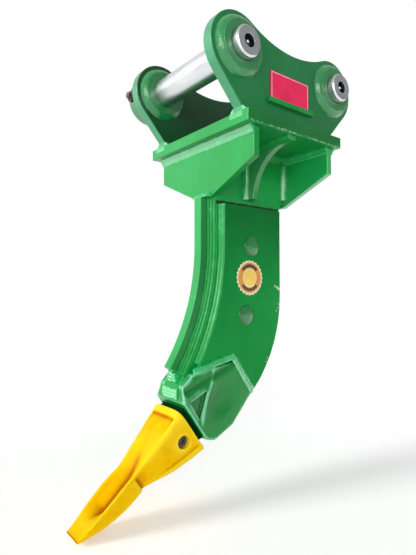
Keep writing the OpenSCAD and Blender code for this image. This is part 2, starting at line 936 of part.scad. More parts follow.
module rib_welds() {
    rear_inner = gusset_back - gusset_t;
    color(weld_green)
        for (side = [0, 1])
            mirror([side, 0, 0]) {
                upright_fillet(rib_y, -rib_weld, base_low - rib_h, base_low);
                upright_fillet(rib_y + rib_t, rib_weld, base_low - rib_h, base_low);
                upright_fillet(rear_inner, -rib_weld, gusset_low + 14, base_low - gusset_weld);
                fillet_y(core_front, rib_y, core_half, base_low, rib_weld, -rib_weld);
                fillet_y(rib_y + rib_t, rear_inner - gusset_weld_w, core_half, base_low,
                    rib_weld, -rib_weld);
                slab(core_half, base_w / 2 - rib_set)
                    polygon([[rib_y, base_low], [rib_y - rib_weld, base_low], [rib_y, base_low - rib_weld]]);
            }
}

// A fillet that follows the front curve: straight down from top, then round the arc.
// Its section is drawn as [distance behind the core's front, X].
module along_front(top, sweep) {
    translate([0, front_mid[0], 0])
        translate([0, 0, -front_start])
            rotate([90, 0, 90])
                rotate([0, 0, -sweep])
                    rotate_extrude(angle = sweep, $fn = 360)
                        translate([front_r - seam, 0])
                            children();
    translate([0, core_front - seam, seam - front_start])
        linear_extrude(front_start - top - seam)
            rotate(90)
                mirror([0, 1])
                    children();
}

module bar_welds() {
    color(weld_green)
        for (side = [0, 1])
            mirror([side, 0, 0])
                along_front(-gusset_low, bar_sweep)
                    polygon([[0, bar_w / 2], [0, core_half], [-bar_foot, bar_w / 2]]);
}

module cheek_welds() {
    color(weld_green)
        for (side = [0, 1])
            mirror([side, 0, 0])
                along_front(cheek_top, bar_sweep - 4)
                    polygon([[cheek_bare, core_half], [cheek_set, core_half],
                        [cheek_set, cheek_out]]);
}

// Beads along the upper and rear edges of a strap, on the cheek's face
module strap_beads() {
    tall = strap_out - cheek_out;
    edge = [strap_top - strap_l, strap_rise - strap_end_up];
    translate([cheek_out, strap_l, -strap_end_low])
        linear_extrude(strap_end_up + strap_end_low)
            polygon([[0, 0], [tall * 0.9, -strap_draft * 0.9], [0, tall * 1.2]]);
    translate([cheek_out, strap_l, strap_end_up])
        rotate([90 - angle_of([-edge[0], edge[1]]), 0, 0])
            linear_extrude(norm(edge) - 8)
                polygon([[0, 0], [tall * 0.6, 0], [0, tall * 1.2]]);
}

module strap_welds() {
    color(weld_green)
        at_nose()
            for (side = [0, 1])
                mirror([side, 0, 0])
                    strap_beads();
}

// Runs under the wear bar's end and across the front of the adapter's root
module nose_welds() {
    end_a = -bar_sweep;
    bar_end = front_mid + front_r * [cos(end_a), sin(end_a)];
    bar_tip = front_mid + (front_r - bar_h / 2) * [cos(end_a), sin(end_a)];
    core_toe = front_mid + (front_r - seam) * [cos(end_a - 2), sin(end_a - 2)];
    color(weld_green) {
        slab(-bar_w / 2, bar_w / 2)
            polygon([bar_end, bar_tip, core_toe]);
        at_nose()
            slab(-core_half, core_half)
                polygon([[root_back, root_top], [root_back, root_top + 5],
                    [shoulder_gap + 3, root_up + 3 * (root_top - root_up) / root_l]]);
    }
}

// A fillet that follows the back curve, its section drawn as [distance from the core's back, X]
module along_back(top, sweep) {
    translate([0, back_mid[0], -back_start])
        rotate([90, 0, 90])
            rotate([0, 0, -sweep])
                rotate_extrude(angle = sweep, $fn = 360)
                    translate([back_r, 0])
                        children();
    translate([0, core_back, seam - back_start])
        linear_extrude(back_start - top - seam)
            rotate(90)
                mirror([0, 1])
                    children();
}

module back_welds() {
    color(weld_green)
        for (side = [0, 1])
            mirror([side, 0, 0])
                along_back(cheek_top, back_sweep - 2)
                    polygon([[seam - cheek_set, core_half], [seam - cheek_set, cheek_out],
                        [-cheek_bare, core_half]]);
}

// Round paper seal on the right cheek
module seal_label() {
    color(paper)
        translate([cheek_out, core_front + seal_back, -cheek_top - plug_drop - seal_drop])
            rotate([0, 90, 0])
                cylinder(d = seal_d, h = seal_t);
}

ear_right();
ear_left();
boss_front_right();
boss_front_left();
boss_rear_right();
boss_rear_left();
front_pin();
rear_pin();
grease_nipples();
pin_lock_bolts();
pin_lock_washers();
pin_lock_nuts();
name_plate();
plate_ledge();
base_plate();
front_gusset();
rear_gusset();
rib_right();
rib_left();
shank_core();
wear_bar();
cheek_right();
cheek_left();
plug_welds();
nose_adapter();
tooth();
tooth_pin();
tooth_retainer();
boss_welds();
ear_welds();
gusset_welds();
rib_welds();
bar_welds();
cheek_welds();
strap_welds();
back_welds();
nose_welds();
seal_label();
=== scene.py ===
"""Looks of the excavator ripper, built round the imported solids.

Lengths are in millimetres, and MM turns them to metres for Blender.
"""

import json
import math
from collections import namedtuple
from contextlib import contextmanager

import bmesh
import bpy
import numpy as np
from mathutils import Matrix, Vector, noise

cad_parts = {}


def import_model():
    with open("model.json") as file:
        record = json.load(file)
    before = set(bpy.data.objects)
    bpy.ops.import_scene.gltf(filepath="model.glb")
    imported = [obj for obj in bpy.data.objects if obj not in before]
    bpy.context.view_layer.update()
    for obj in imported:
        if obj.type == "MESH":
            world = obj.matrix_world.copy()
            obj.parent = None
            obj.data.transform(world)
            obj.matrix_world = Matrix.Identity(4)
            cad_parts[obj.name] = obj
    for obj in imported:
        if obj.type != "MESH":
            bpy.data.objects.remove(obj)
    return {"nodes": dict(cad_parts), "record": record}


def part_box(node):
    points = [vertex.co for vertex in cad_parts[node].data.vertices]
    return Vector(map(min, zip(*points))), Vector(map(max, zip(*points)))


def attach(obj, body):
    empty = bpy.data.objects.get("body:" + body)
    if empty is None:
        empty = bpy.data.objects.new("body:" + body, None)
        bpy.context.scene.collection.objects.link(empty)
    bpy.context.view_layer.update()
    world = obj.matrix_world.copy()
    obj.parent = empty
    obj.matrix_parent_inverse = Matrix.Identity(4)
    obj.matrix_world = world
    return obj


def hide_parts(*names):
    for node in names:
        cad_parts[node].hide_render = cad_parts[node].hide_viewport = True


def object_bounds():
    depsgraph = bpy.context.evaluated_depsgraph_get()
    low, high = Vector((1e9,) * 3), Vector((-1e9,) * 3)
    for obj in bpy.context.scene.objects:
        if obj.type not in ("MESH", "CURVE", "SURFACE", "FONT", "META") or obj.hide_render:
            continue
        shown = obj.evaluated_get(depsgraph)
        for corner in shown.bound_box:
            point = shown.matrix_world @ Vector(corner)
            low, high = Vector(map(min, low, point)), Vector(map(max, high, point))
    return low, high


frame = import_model()
CAD_LOW, CAD_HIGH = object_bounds()
MM = 0.001
X, Y, Z = Vector((1, 0, 0)), Vector((0, 1, 0)), Vector((0, 0, 1))


# Sizes read from the solids

def box(node):
    """A node's lowest and highest corner, to a tenth of a millimetre."""
    return [Vector([round(c / MM, 1) for c in corner]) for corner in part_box(node)]


PINS = [tuple(round(c / MM, 1) for c in mount["pos_m"][1:]) for mount in frame["record"]["mounts"]]
PIN_RIGHT = box("front_pin")[1].x
BOSS_R = box("boss_front_right")[1].y
COLLAR_R = box("boss_front_left")[1].y
BOSS_LEG = box("boss_welds")[1].z - COLLAR_R
EAR_IN, EAR_OUT = [corner.x for corner in box("ear_right")]
BASE_LOW, BASE_TOP = [corner.z for corner in box("base_plate")]
BASE_FRONT, BASE_BACK = [corner.y for corner in box("base_plate")]
FOOT_SET = BASE_BACK - box("ear_welds")[1].y
EAR_LEG = box("ear_welds")[1].z - BASE_TOP
GUSSET_HALF = box("front_gusset")[1].x
GUSSET_FRONT = box("front_gusset")[0].y
GUSSET_LOW = box("front_gusset")[0].z
GUSSET_INNER, GUSSET_BACK = [corner.y for corner in box("rear_gusset")]
GUSSET_LEG_Y = GUSSET_FRONT - box("gusset_welds")[0].y
GUSSET_LEG_Z = BASE_LOW - box("gusset_welds")[0].z
RIB_FRONT, RIB_BACK = [corner.y for corner in box("rib_right")]
RIB_LOW = box("rib_right")[0].z
RIB_TIP_X = box("rib_right")[1].x
CORE_HALF = box("shank_core")[1].x
CORE_FRONT = box("wear_bar")[1].y
BAR_HALF = box("wear_bar")[1].x
CHEEK_OUT = box("cheek_right")[1].x
CHEEK_TOP = box("cheek_right")[1].z
STRAP_OUT = box("nose_adapter")[1].x
SEAL_LOW, SEAL_HIGH = box("seal_label")

# Sizes that no box shows

CHEEK_SET, CHEEK_BARE = 11.0, 4.5
CORE_BACK = box("cheek_right")[1].y + CHEEK_SET
FRONT_R, FRONT_START = 400.0, -305.0
BACK_R, BACK_START = 255.0, -395.0
BAR_SWEEP, CHEEK_SWEEP, BACK_SWEEP = 34.0, 30.0, 41.0
PLUGS = [(110.0, -302.0), (96.0, -429.0)]
PLUG_R, PLUG_CROWN = 18.0, 5.0
NOSE_AT, NOSE_TILT = (0.0, -32.0, -612.0), 35.0
NOSE = (Matrix.Translation(Vector(NOSE_AT))
        @ Matrix.Rotation(math.radians(NOSE_TILT), 4, "X"))


# Meshes

SAME_POINT, JOIN_GAP = 0.001, 0.005
SAME_FACE, BEVEL_ANGLE = 0.2, 30.0
PLATE_SHARP, LINE_SHARP, TOOTH_SHARP, BEAD_SHARP, ADAPTER_SHARP = 35.0, 40.0, 50.0, 60.0, 80.0


def placed(name, data):
    """A new object in the scene."""
    obj = bpy.data.objects.new(name, data)
    bpy.context.scene.collection.objects.link(obj)
    return obj


def keep(name, mesh, material, slot, *nodes):
    """Links a finished mesh as a piece, which stands for the given nodes if there are any."""
    if material:
        mesh.materials.clear()
        mesh.materials.append(material)
    obj = placed(name, mesh)
    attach(obj, "root")
    if nodes:
        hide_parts(*nodes)


@contextmanager
def edited(mesh):
    """Opens a mesh for editing and writes the result back."""
    bm = bmesh.new()
    bm.from_mesh(mesh)
    yield bm
    bm.to_mesh(mesh)
    bm.free()


def finish_normals(mesh, sharp):
    """Turns the faces outward and shades them smooth, apart from edges over an angle in degrees."""
    with edited(mesh) as bm:
        bmesh.ops.recalc_face_normals(bm, faces=bm.faces)
    mesh.shade_smooth()
    mesh.set_sharp_from_angle(angle=math.radians(sharp))


def mesh_from(name, points, faces, sharp):
    """A mesh from points in millimetres."""
    mesh = bpy.data.meshes.new(name)
    mesh.from_pydata([Vector(p) * MM for p in points], [], faces)
    mesh.validate()
    mesh.update()
    finish_normals(mesh, sharp)
    return mesh


def walls(start, rows, row, closed=False):
    """Faces between rings of points; a closed row of rings meets its first ring again."""
    faces = []
    for r in range(rows if closed else rows - 1):
        a = start + r * row
        b = start + (r + 1) % rows * row
        for i in range(row):
            j = (i + 1) % row
            faces.append((a + i, a + j, b + j, b + i))
    return faces


def cap(start, number, row):
    """One face over a ring."""
    return tuple(range(start + number * row, start + (number + 1) * row))


def cleaned(mesh):
    """Joins points that fell together and drops points that hold no corner."""
    with edited(mesh) as bm:
        bmesh.ops.dissolve_degenerate(bm, dist=JOIN_GAP * MM, edges=bm.edges)
        bmesh.ops.dissolve_verts(bm, verts=[v for v in bm.verts if len(v.link_edges) == 2])
    return mesh


def mark_relief(mesh, *scales):
    """Stores how far each point lies under (+) or over (-) the smoothed skin.

    Each scale is a number of smoothing rounds and the depth in millimetres that counts as 1.
    """
    count = len(mesh.vertices)
    ends = np.empty(len(mesh.edges) * 2, dtype=np.int32)
    mesh.edges.foreach_get("vertices", ends)
    spots, normals = np.empty((2, count * 3), dtype=np.float32)
    mesh.vertices.foreach_get("co", spots)
    mesh.vertices.foreach_get("normal", normals)
    spots, normals = spots.reshape(-1, 3), normals.reshape(-1, 3)
    shares = np.bincount(ends, minlength=count)[:, None]
    depth = np.zeros(count)
    for rounds, full in scales:
        skin = spots
        for _ in range(rounds):
            total = np.zeros((count, 3))
            np.add.at(total, ends[0::2], skin[ends[1::2]])
            np.add.at(total, ends[1::2], skin[ends[0::2]])
            skin = total / np.maximum(shares, 1)
        depth += ((skin - spots) * normals).sum(axis=1) / (full * MM)
    layer = mesh.attributes.new("relief", "FLOAT", "POINT")
    layer.data.foreach_set("value", np.clip(depth, -1.0, 1.0).astype(np.float32))


def modified(mesh, name, *modifiers):
    """The mesh with modifiers applied; each is (type, {setting: value})."""
    obj = placed(name + "_work", mesh)
    for kind, settings in modifiers:
        mod = obj.modifiers.new(kind, kind)
        for key, value in settings.items():
            setattr(mod, key, value)
    shape = obj.evaluated_get(bpy.context.evaluated_depsgraph_get())
    done = bpy.data.meshes.new_from_object(shape)
    done.name = name
    bpy.data.objects.remove(obj)
    return done


def joined_copy(node):
    """A node's mesh with its split corners joined and its flat faces whole."""
    mesh = frame["nodes"][node].data.copy()
    with edited(mesh) as bm:
        bmesh.ops.remove_doubles(bm, verts=bm.verts, dist=SAME_POINT * MM)
        bmesh.ops.dissolve_limit(bm, angle_limit=math.radians(SAME_FACE), verts=bm.verts, edges=bm.edges)
    for name in [a.name for a in mesh.attributes if a.name in ("custom_normal", "sharp_face")]:
        mesh.attributes.remove(mesh.attributes[name])
    return mesh


def bevelled(node, width, material, slot, segments=3):
    """A node with softened edges whose flat faces stay flat."""
    name = node + "_soft"
    bevel = {"width": width * MM, "segments": segments, "limit_method": "ANGLE",
             "angle_limit": math.radians(BEVEL_ANGLE), "use_clamp_overlap": True}
    flat = {"mode": "FACE_AREA", "weight": 100, "keep_sharp": True}
    mesh = cleaned(modified(joined_copy(node), name, ("BEVEL", bevel)))
    finish_normals(mesh, PLATE_SHARP)
    mesh = modified(mesh, name, ("WEIGHTED_NORMAL", flat))
    keep(name, mesh, material, slot, node)


# Runs of weld, each a list of (corner, toe, toe) and whether it closes on itself

BEAD_STEP = 0.9
FRONT_EDGE = (CORE_FRONT, FRONT_R, FRONT_START, 1)
BACK_EDGE = (CORE_BACK, BACK_R, BACK_START, -1)


def straight_run(begin, end, leg_a, leg_b):
    """A straight fillet; the legs are vectors from its corner."""
    begin, end = Vector(begin), Vector(end)
    count = max(2, int((end - begin).length / BEAD_STEP))
    spots = [begin.lerp(end, i / count) for i in range(count + 1)]
    return [(p, p + leg_a, p + leg_b) for p in spots], False


def ring_run(x, pin, radius, leg, side):
    """A fillet round a boss; side is the way its outer leg points along X."""
    count = int(2 * math.pi * radius / BEAD_STEP)
    sections = []
    for i in range(count):
        a = 2 * math.pi * i / count
        spoke = Vector((0, math.cos(a), math.sin(a)))
        corner = Vector((x, pin[0], pin[1])) + spoke * radius
        sections.append((corner, corner + X * side * leg, corner + spoke * leg))
    return sections, True


def edge_point(edge, x, depth, s, top):
    """Point on the shank at run length s down its front or back edge, depth inside that edge."""
    y, radius, start, inward = edge
    drop = top - start
    if s <= drop:
        return Vector((x, y + inward * depth, top - s))
    a = (s - drop) / radius
    r = radius + inward * depth
    return Vector((x, y - radius + r * math.cos(a), start - r * math.sin(a)))


def curve_run(edge, top, sweep, *line):
    """A fillet down the shank's edge from a height to the end of a sweep; its line is three (x, depth)."""
    _, radius, start, _ = edge
    length = top - start + math.radians(sweep) * radius
    count = int(length / BEAD_STEP)
    spots = [length * i / count for i in range(count + 1)]
    return [tuple(edge_point(edge, x, depth, s, top) for x, depth in line) for s in spots], False


def moved(runs, matrix):
    """The runs carried to another place."""
    return [([tuple(matrix @ p for p in section) for section in sections], closed)
            for sections, closed in runs]


def mirrored(runs):
    """The runs and their copies on the other side."""
    return runs + moved(runs, Matrix.Scale(-1, 4, X))


# Rippled beads along those runs

PASS_POINTS = 6
BEAD_SINK, CORNER_SINK = 0.25, 0.3
SCALE_LAG, LANE_LAG = 0.9, 2.3
GRAIN, FINE_GRAIN = 0.11, 0.45
SEED_STEP, RUN_STEP = 3.1, 7.7

Bead = namedtuple("Bead", "crown scale pitch passes wobble groove", defaults=(1.2, 0.7, 5.0, 1, 0.5, 0.7))


def ripple(s, pitch):
    """Height from 0 to 1 of the overlapping scales along a bead."""
    phase = (s / pitch) % 1.0
    return phase ** 0.7 * (1.0 - phase ** 6)


def bead_row(section, s, bead, shift):
    """Points across a bead at run length s, from toe to toe, and one behind its corner."""
    corner, toe_a, toe_b = section
    out = ((toe_a + toe_b) / 2 - corner).normalized()
    along = (toe_b - toe_a).normalized()
    across = PASS_POINTS * bead.passes
    row = []
    for i in range(across + 1):
        t = i / across
        u = (t * bead.passes) % 1.0 if i < across else 1.0
        lane = min(int(t * bead.passes), bead.passes - 1)
        bow = 4 * u * (1 - u)
        edge = 4 * t * (1 - t)
        late = s + SCALE_LAG * bead.pitch * (2 * u - 1) ** 2 + lane * LANE_LAG
        base = toe_a.lerp(toe_b, t)
        lift = bead.crown * edge * 0.6 + bead.groove * bow
        lift += bead.scale * ripple(late, bead.pitch) * (0.25 + 0.75 * bow)
        lift += 0.45 * bead.wobble * noise.noise(base * FINE_GRAIN + shift) * edge
        spread = bead.wobble * noise.noise(base * GRAIN + shift) * (2 * t - 1) * 1.6
        row.append(base + out * (lift - BEAD_SINK) + along * spread)
    return row + [corner - out * CORNER_SINK]


def bead_mesh(name, seed, runs, **shape):
    """One mesh of the beads along all the runs."""
    bead = Bead(**shape)
    row = PASS_POINTS * bead.passes + 2
    points, faces = [], []
    for number, (sections, closed) in enumerate(runs):
        shift = X * (seed * SEED_STEP + number * RUN_STEP)
        start = len(points)
        s = 0.0
        before = None
        for section in sections:
            middle = (section[1] + section[2]) / 2
            s += (middle - before).length if before is not None else 0.0
            before = middle
            points += bead_row(section, s, bead, shift)
        faces += walls(start, len(sections), row, closed)
        if not closed:
            faces += [cap(start, 0, row), cap(start, len(sections) - 1, row)]
    return mesh_from(name, points, faces, BEAD_SHARP)


# Materials

BAND_WAVER = 2.0


class Nodes:
    """A node tree with short helpers."""

    def __init__(self, tree):
        self.tree = tree

    def fill(self, socket, value):
        """Links a socket to another node's output, or sets it to a plain value."""
        if isinstance(value, bpy.types.NodeSocket):
            self.tree.links.new(value, socket)
        else:
            socket.default_value = (*value, 1.0) if socket.type == "RGBA" else value

    def add(self, kind, inputs, **settings):
        """A new node; inputs says what fills its named or numbered sockets."""
        node = self.tree.nodes.new("ShaderNode" + kind)
        for key, value in settings.items():
            setattr(node, key, value)
        for key, value in inputs.items():
            self.fill(node.inputs[key], value)
        return node

    def maths(self, operation, a, b):
        return self.add("Math", {0: a, 1: b}, operation=operation).outputs[0]

    def dot(self, vector, direction):
        return self.add("VectorMath", {0: vector, 1: direction}, operation="DOT_PRODUCT").outputs["Value"]

    def span(self, value, begin, end, low, high, form="LINEAR"):
        """From low to high as a value goes from begin to end."""
        inputs = {"Value": value, "From Min": begin, "From Max": end, "To Min": low, "To Max": high}
        return self.add("MapRange", inputs, interpolation_type=form).outputs["Result"]


class Shade(Nodes):
    """A principled material and the textures on it."""

    def __init__(self, name):
        self.material = bpy.data.materials.new(name)
        self.material.use_nodes = True
        super().__init__(self.material.node_tree)
        self.surface = self.tree.nodes["Principled BSDF"]
        coordinates = self.add("TexCoord", {})
        self.place = coordinates.outputs["Object"]
        self.normal = coordinates.outputs["Normal"]

    def set(self, **values):
        for key, value in values.items():
            self.fill(self.surface.inputs[key.replace("_", " ")], value)

    def stretched(self, scale):
        return self.add("Mapping", {"Vector": self.place, "Scale": scale}).outputs["Vector"]

    def noise(self, scale, detail=4.0, rough=0.55, vector=None):
        inputs = {"Vector": vector or self.place, "Scale": scale, "Detail": detail, "Roughness": rough}
        return self.add("TexNoise", inputs).outputs["Fac"]

    def ramp(self, value, *stops):
        """Colours or grey levels along a value; each stop is (place, colour)."""
        node = self.add("ValToRGB", {"Fac": value})
        elements = node.color_ramp.elements
        while len(elements) < len(stops):
            elements.new(0.5)
        for element, (at, colour) in zip(elements, stops):
            element.position = at
            element.color = (*colour, 1.0) if isinstance(colour, tuple) else (colour, colour, colour, 1.0)
        return node.outputs["Color"]

    def mix(self, factor, a, b, blend="MIX"):
        return self.add("Mix", {0: factor, 6: a, 7: b}, data_type="RGBA", blend_type=blend).outputs[2]

    def times(self, a, b):
        return self.mix(1.0, a, b, "MULTIPLY")

    def spread(self, value, low, high):
        return self.span(value, 0.0, 1.0, low, high)

    def relief(self, colour, low, high, begin=0.0):
        """Paints shade into the hollows, turning a colour towards low, and a highlight onto the ridges past
        begin, turning it towards high.
        """
        depth = self.add("Attribute", {}, attribute_name="relief").outputs["Fac"]
        height = self.maths("MULTIPLY", depth, -1.0)
        colour = self.mix(self.ramp(depth, (0.0, 0.0), (1.0, 1.0)), colour, low)
        return self.mix(self.ramp(height, (begin, 0.0), (1.0, 1.0)), colour, high)

    def spot(self, centre, radius, ragged):
        """1 inside a ragged patch about a point."""
        inputs = {0: self.place, 1: Vector(centre) * MM}
        far = self.add("VectorMath", inputs, operation="DISTANCE").outputs["Value"]
        edge = self.spread(self.noise(160.0, 3.0), -ragged * MM, ragged * MM)
        return self.maths("LESS_THAN", self.maths("ADD", far, edge), radius * MM)

    def height(self):
        return self.add("SeparateXYZ", {0: self.place}).outputs["Z"]

    def band(self, low, high):
        """1 between two heights, with a wavering edge."""
        waver = self.spread(self.noise(90.0, 2.0), -BAND_WAVER * MM, BAND_WAVER * MM)
        height = self.maths("ADD", self.height(), waver)
        above = self.maths("GREATER_THAN", height, low * MM)
        return self.maths("MULTIPLY", above, self.maths("LESS_THAN", height, high * MM))

    def fade(self, low, high, most):
        """From 0 at a low height to most at a high one."""
        return self.span(self.height(), low * MM, high * MM, 0.0, most, "SMOOTHSTEP")

    def facing(self, direction, begin, most):
        """From 0 to most as the surface turns to a direction, from a cosine of begin on."""
        return self.span(self.dot(self.normal, direction.normalized()), begin, 1.0, 0.0, most)

    def short_of(self, point, direction):
        """1 before a plane through a point, square to a direction."""
        return self.maths("LESS_THAN", self.dot(self.place, direction), point.dot(direction) * MM)

    def bump(self, *layers):
        """Chains bumps; each is (height, strength, distance)."""
        chain = {}
        for height, strength, distance in layers:
            inputs = {"Height": height, "Strength": strength, "Distance": distance * MM, **chain}
            chain = {"Normal": self.add("Bump", inputs).outputs["Normal"]}
        self.set(**chain)


GREEN = (0.003, 0.30, 0.05)
GREEN_DEEP = (0.002, 0.24, 0.04)
GREEN_PALE = (0.01, 0.34, 0.07)
# Pale mint for weld beads, which stands for their glints as painted highlight.
GREEN_MINT_HIGHLIGHT = (0.05, 0.46, 0.16)
GREEN_DUST = (0.06, 0.34, 0.13)
# Painted light: a lighter green for the ribs' front faces.
GREEN_LIT = (0.10, 0.36, 0.17)
# Painted highlight: a pale green for the ears' front edges.
GREEN_EDGE_HIGHLIGHT = (0.14, 0.55, 0.32)
# Painted shade for the adapter's hollows, painted highlight for its ridges, and the height where that
# highlight begins.
CAST_HOLLOW_SHADE, CAST_RIDGE_HIGHLIGHT, CAST_HIGHLIGHT_FROM = (0.001, 0.09, 0.02), (0.16, 0.56, 0.30), 0.35
CHIP_CREAM = (0.55, 0.62, 0.42)
CHIP_GOLD = (0.40, 0.48, 0.10)
CHIP_GREY = (0.22, 0.36, 0.24)
# Painted shade: a near-black green laid in gaps, on faces turned from the light and round weld domes.
PAINTED_SHADE_DARK = (0.002, 0.03, 0.008)
# A pale green for a ragged paint run, partly its own colour and partly painted glints.
SPILL_AND_GLINT_PALE = (0.22, 0.50, 0.33)
YELLOW_DEEP, YELLOW, YELLOW_PALE = (0.80, 0.40, 0.0), (0.87, 0.49, 0.0), (0.89, 0.56, 0.0)
# The last two are the tooth's hollows, deep orange partly as pooled paint and partly as painted shade, and
# its ridges, pale lemon as painted highlight.
YELLOW_POOL_AND_SHADE, YELLOW_RIDGE_HIGHLIGHT = (0.42, 0.13, 0.0), (0.92, 0.66, 0.02)
RUST = (0.16, 0.07, 0.01)
STEEL_DULL, STEEL, STEEL_BRIGHT = (0.40, 0.41, 0.42), (0.53, 0.55, 0.56), (0.62, 0.64, 0.65)
# The second colour here is painted shade for the pins' pockets.
STEEL_SPECK, POCKET_SHADE = (0.10, 0.10, 0.10), (0.12, 0.13, 0.14)
BLACK, BROWN, BROWN_DUST = (0.035, 0.03, 0.03), (0.11, 0.09, 0.085), (0.26, 0.22, 0.20)


def enamel(n, tint):
    """Uneven green with streaks and dust."""
    colour = n.ramp(n.noise(7.0, 5.0, 0.6), (0.30, GREEN_DEEP), (0.52, GREEN), (0.75, GREEN_PALE))
    streaks = n.noise(1.0, 4.0, 0.6, n.stretched((60.0, 60.0, 5.0)))
    colour = n.mix(0.14, colour, n.ramp(streaks, (0.35, 0.55), (0.65, 1.0)), "MULTIPLY")
    dust = n.ramp(n.noise(38.0, 6.0, 0.75), (0.62, 0.0), (0.80, 0.35))
    colour = n.mix(dust, colour, GREEN_DUST)
    return n.times(colour, tint) if tint else colour


def green_paint(name, brush=0.0, chips=(), sag=0.25, shine=0.25, tint=None, gap_shadow=None, neck=None,
                relief_shade_and_highlight=False, painted_light_and_shade=(), shade=None, spill_and_glint=None):
    """Glossy enamel over plate, brushed on, with painted light and shade where asked and a few chips."""
    n = Shade(name)
    colour = enamel(n, tint)
    # Painted shadow: a dark band between two heights, in the gap where two parts meet.
    if gap_shadow:
        colour = n.mix(n.band(*gap_shadow), colour, PAINTED_SHADE_DARK)
    # Painted shade: darker towards a height.
    if shade:
        colour = n.mix(n.fade(*shade), colour, PAINTED_SHADE_DARK)
    # Painted light and shade on faces turned one way.
    for direction, begin, most, tone in painted_light_and_shade:
        colour = n.mix(n.facing(direction, begin, most), colour, tone)
    # A ragged pale paint run on faces turned to +X, whose paleness is partly painted glints.
    if spill_and_glint:
        ragged = n.times(n.ramp(n.noise(170.0, 3.0, 0.6), (0.46, 0.0), (0.62, 1.0)), n.band(*spill_and_glint))
        colour = n.mix(n.times(ragged, n.facing(X, 0.2, 1.0)), colour, SPILL_AND_GLINT_PALE)
    # Painted shade in the hollows and painted highlight on the ridges, from the relief depths.
    if relief_shade_and_highlight:
        colour = n.relief(colour, CAST_HOLLOW_SHADE, CAST_RIDGE_HIGHLIGHT, CAST_HIGHLIGHT_FROM)
    coat = shine * 0.6
    n.set(Coat_Weight=coat, Coat_Roughness=0.07, Specular_IOR_Level=shine)
    # Painted shadow on the tooth's side of a plane, where its gloss is taken away too.
    if neck:
        shaded = n.short_of(*neck)
        colour = n.mix(shaded, colour, PAINTED_SHADE_DARK)
        n.set(Coat_Weight=n.spread(shaded, coat, 0.0), Specular_IOR_Level=n.spread(shaded, shine, 0.0))
    for centre, radius, ragged, bare in chips:
        colour = n.mix(n.spot(centre, radius, ragged), colour, bare)
    n.set(Base_Color=colour, Roughness=n.spread(n.noise(22.0, 4.0), 0.24, 0.46))
    strokes = n.noise(1.0, 3.0, 0.5, n.stretched((240.0, 35.0, 240.0)))
    n.bump((n.noise(45.0, 2.0), sag, 0.6), (n.noise(420.0, 2.0), 0.12, 0.2), (strokes, 0.05 + brush, 0.5))
    return n.material


def weld_paint(name, shine, rough, tint=None, crowns=()):
    """The same enamel over weld metal; where crowns are given, it is darkened outside them as painted
    shade.
    """
    n = Shade(name)
    # Pale mint patches on the beads are painted highlight.
    colour = n.ramp(n.noise(60.0, 4.0, 0.6), (0.30, GREEN), (0.55, GREEN_PALE), (0.80, GREEN_MINT_HIGHLIGHT))
    if tint:
        colour = n.times(colour, tint)
    # Painted shade round the domes: half way to near-black outside the crowns.
    if crowns:
        toe = n.mix(0.5, colour, PAINTED_SHADE_DARK)
        for centre, radius in crowns:
            toe = n.mix(n.spot(centre, radius, 2.0), toe, colour)
        colour = toe
    n.set(Base_Color=colour, Roughness=n.spread(n.noise(90.0, 3.0), 0.25, 0.45))
    n.set(Coat_Weight=1.0, Coat_Roughness=rough, Coat_IOR=shine, Specular_IOR_Level=0.2)
    n.bump((n.noise(160.0, 2.0), 0.2, 0.5))
    return n.material


def tooth_paint(name):
    """Yellow enamel over rough casting, with hollows darker, partly pooled paint and partly painted shade,
    and ridges lighter as painted highlight.
    """
    n = Shade(name)
    colour = n.ramp(n.noise(26.0, 5.0, 0.65), (0.28, YELLOW_DEEP), (0.5, YELLOW), (0.72, YELLOW_PALE))
    # Hollows turn deep orange, partly pooled paint and partly painted shade; ridges turn pale lemon as
    # painted highlight.
    colour = n.relief(colour, YELLOW_POOL_AND_SHADE, YELLOW_RIDGE_HIGHLIGHT)
    pits = n.ramp(n.noise(330.0, 3.0, 0.6), (0.22, 1.0), (0.30, 0.0))
    worn = n.ramp(n.noise(14.0, 3.0, 0.6), (0.52, 0.0), (0.66, 0.8))
    colour = n.mix(n.times(pits, worn), colour, RUST)
    n.set(Base_Color=colour, Specular_IOR_Level=0.03, Roughness=n.spread(n.noise(50.0, 4.0), 0.32, 0.55))
    n.bump((n.noise(70.0, 4.0, 0.6), 0.35, 0.8), (n.noise(480.0, 3.0), 0.2, 0.25))
    return n.material


def pin_steel(name, pockets=()):
    """Ground steel with turning lines and a few stains, darkened in its pockets as painted shade."""
    n = Shade(name)
    stain = n.noise(1.0, 5.0, 0.6, n.stretched((14.0, 60.0, 60.0)))
    colour = n.ramp(stain, (0.25, STEEL_DULL), (0.42, STEEL), (0.7, STEEL_BRIGHT))
    colour = n.mix(n.ramp(n.noise(160.0, 2.0), (0.18, 1.0), (0.23, 0.0)), colour, STEEL_SPECK)
    # Painted shade in the pockets at the pins' right ends.
    for centre, radius in pockets:
        colour = n.mix(n.spot(centre, radius, 0.0), colour, POCKET_SHADE)
    n.set(Base_Color=colour, Metallic=1.0, Roughness=n.spread(n.noise(30.0, 4.0), 0.28, 0.4))
    n.bump((n.noise(1.0, 2.0, 0.5, n.stretched((2600.0, 20.0, 20.0))), 0.12, 0.1))
    return n.material


def dark_steel(name):
    """Blackened steel with brown dust."""
    n = Shade(name)
    colour = n.ramp(n.noise(90.0, 5.0, 0.7), (0.3, BLACK), (0.55, BROWN), (0.75, BROWN_DUST))
    n.set(Base_Color=colour, Metallic=0.8, Roughness=n.spread(n.noise(70.0, 3.0), 0.35, 0.6))
    n.bump((n.noise(500.0, 3.0), 0.2, 0.2))
    return n.material


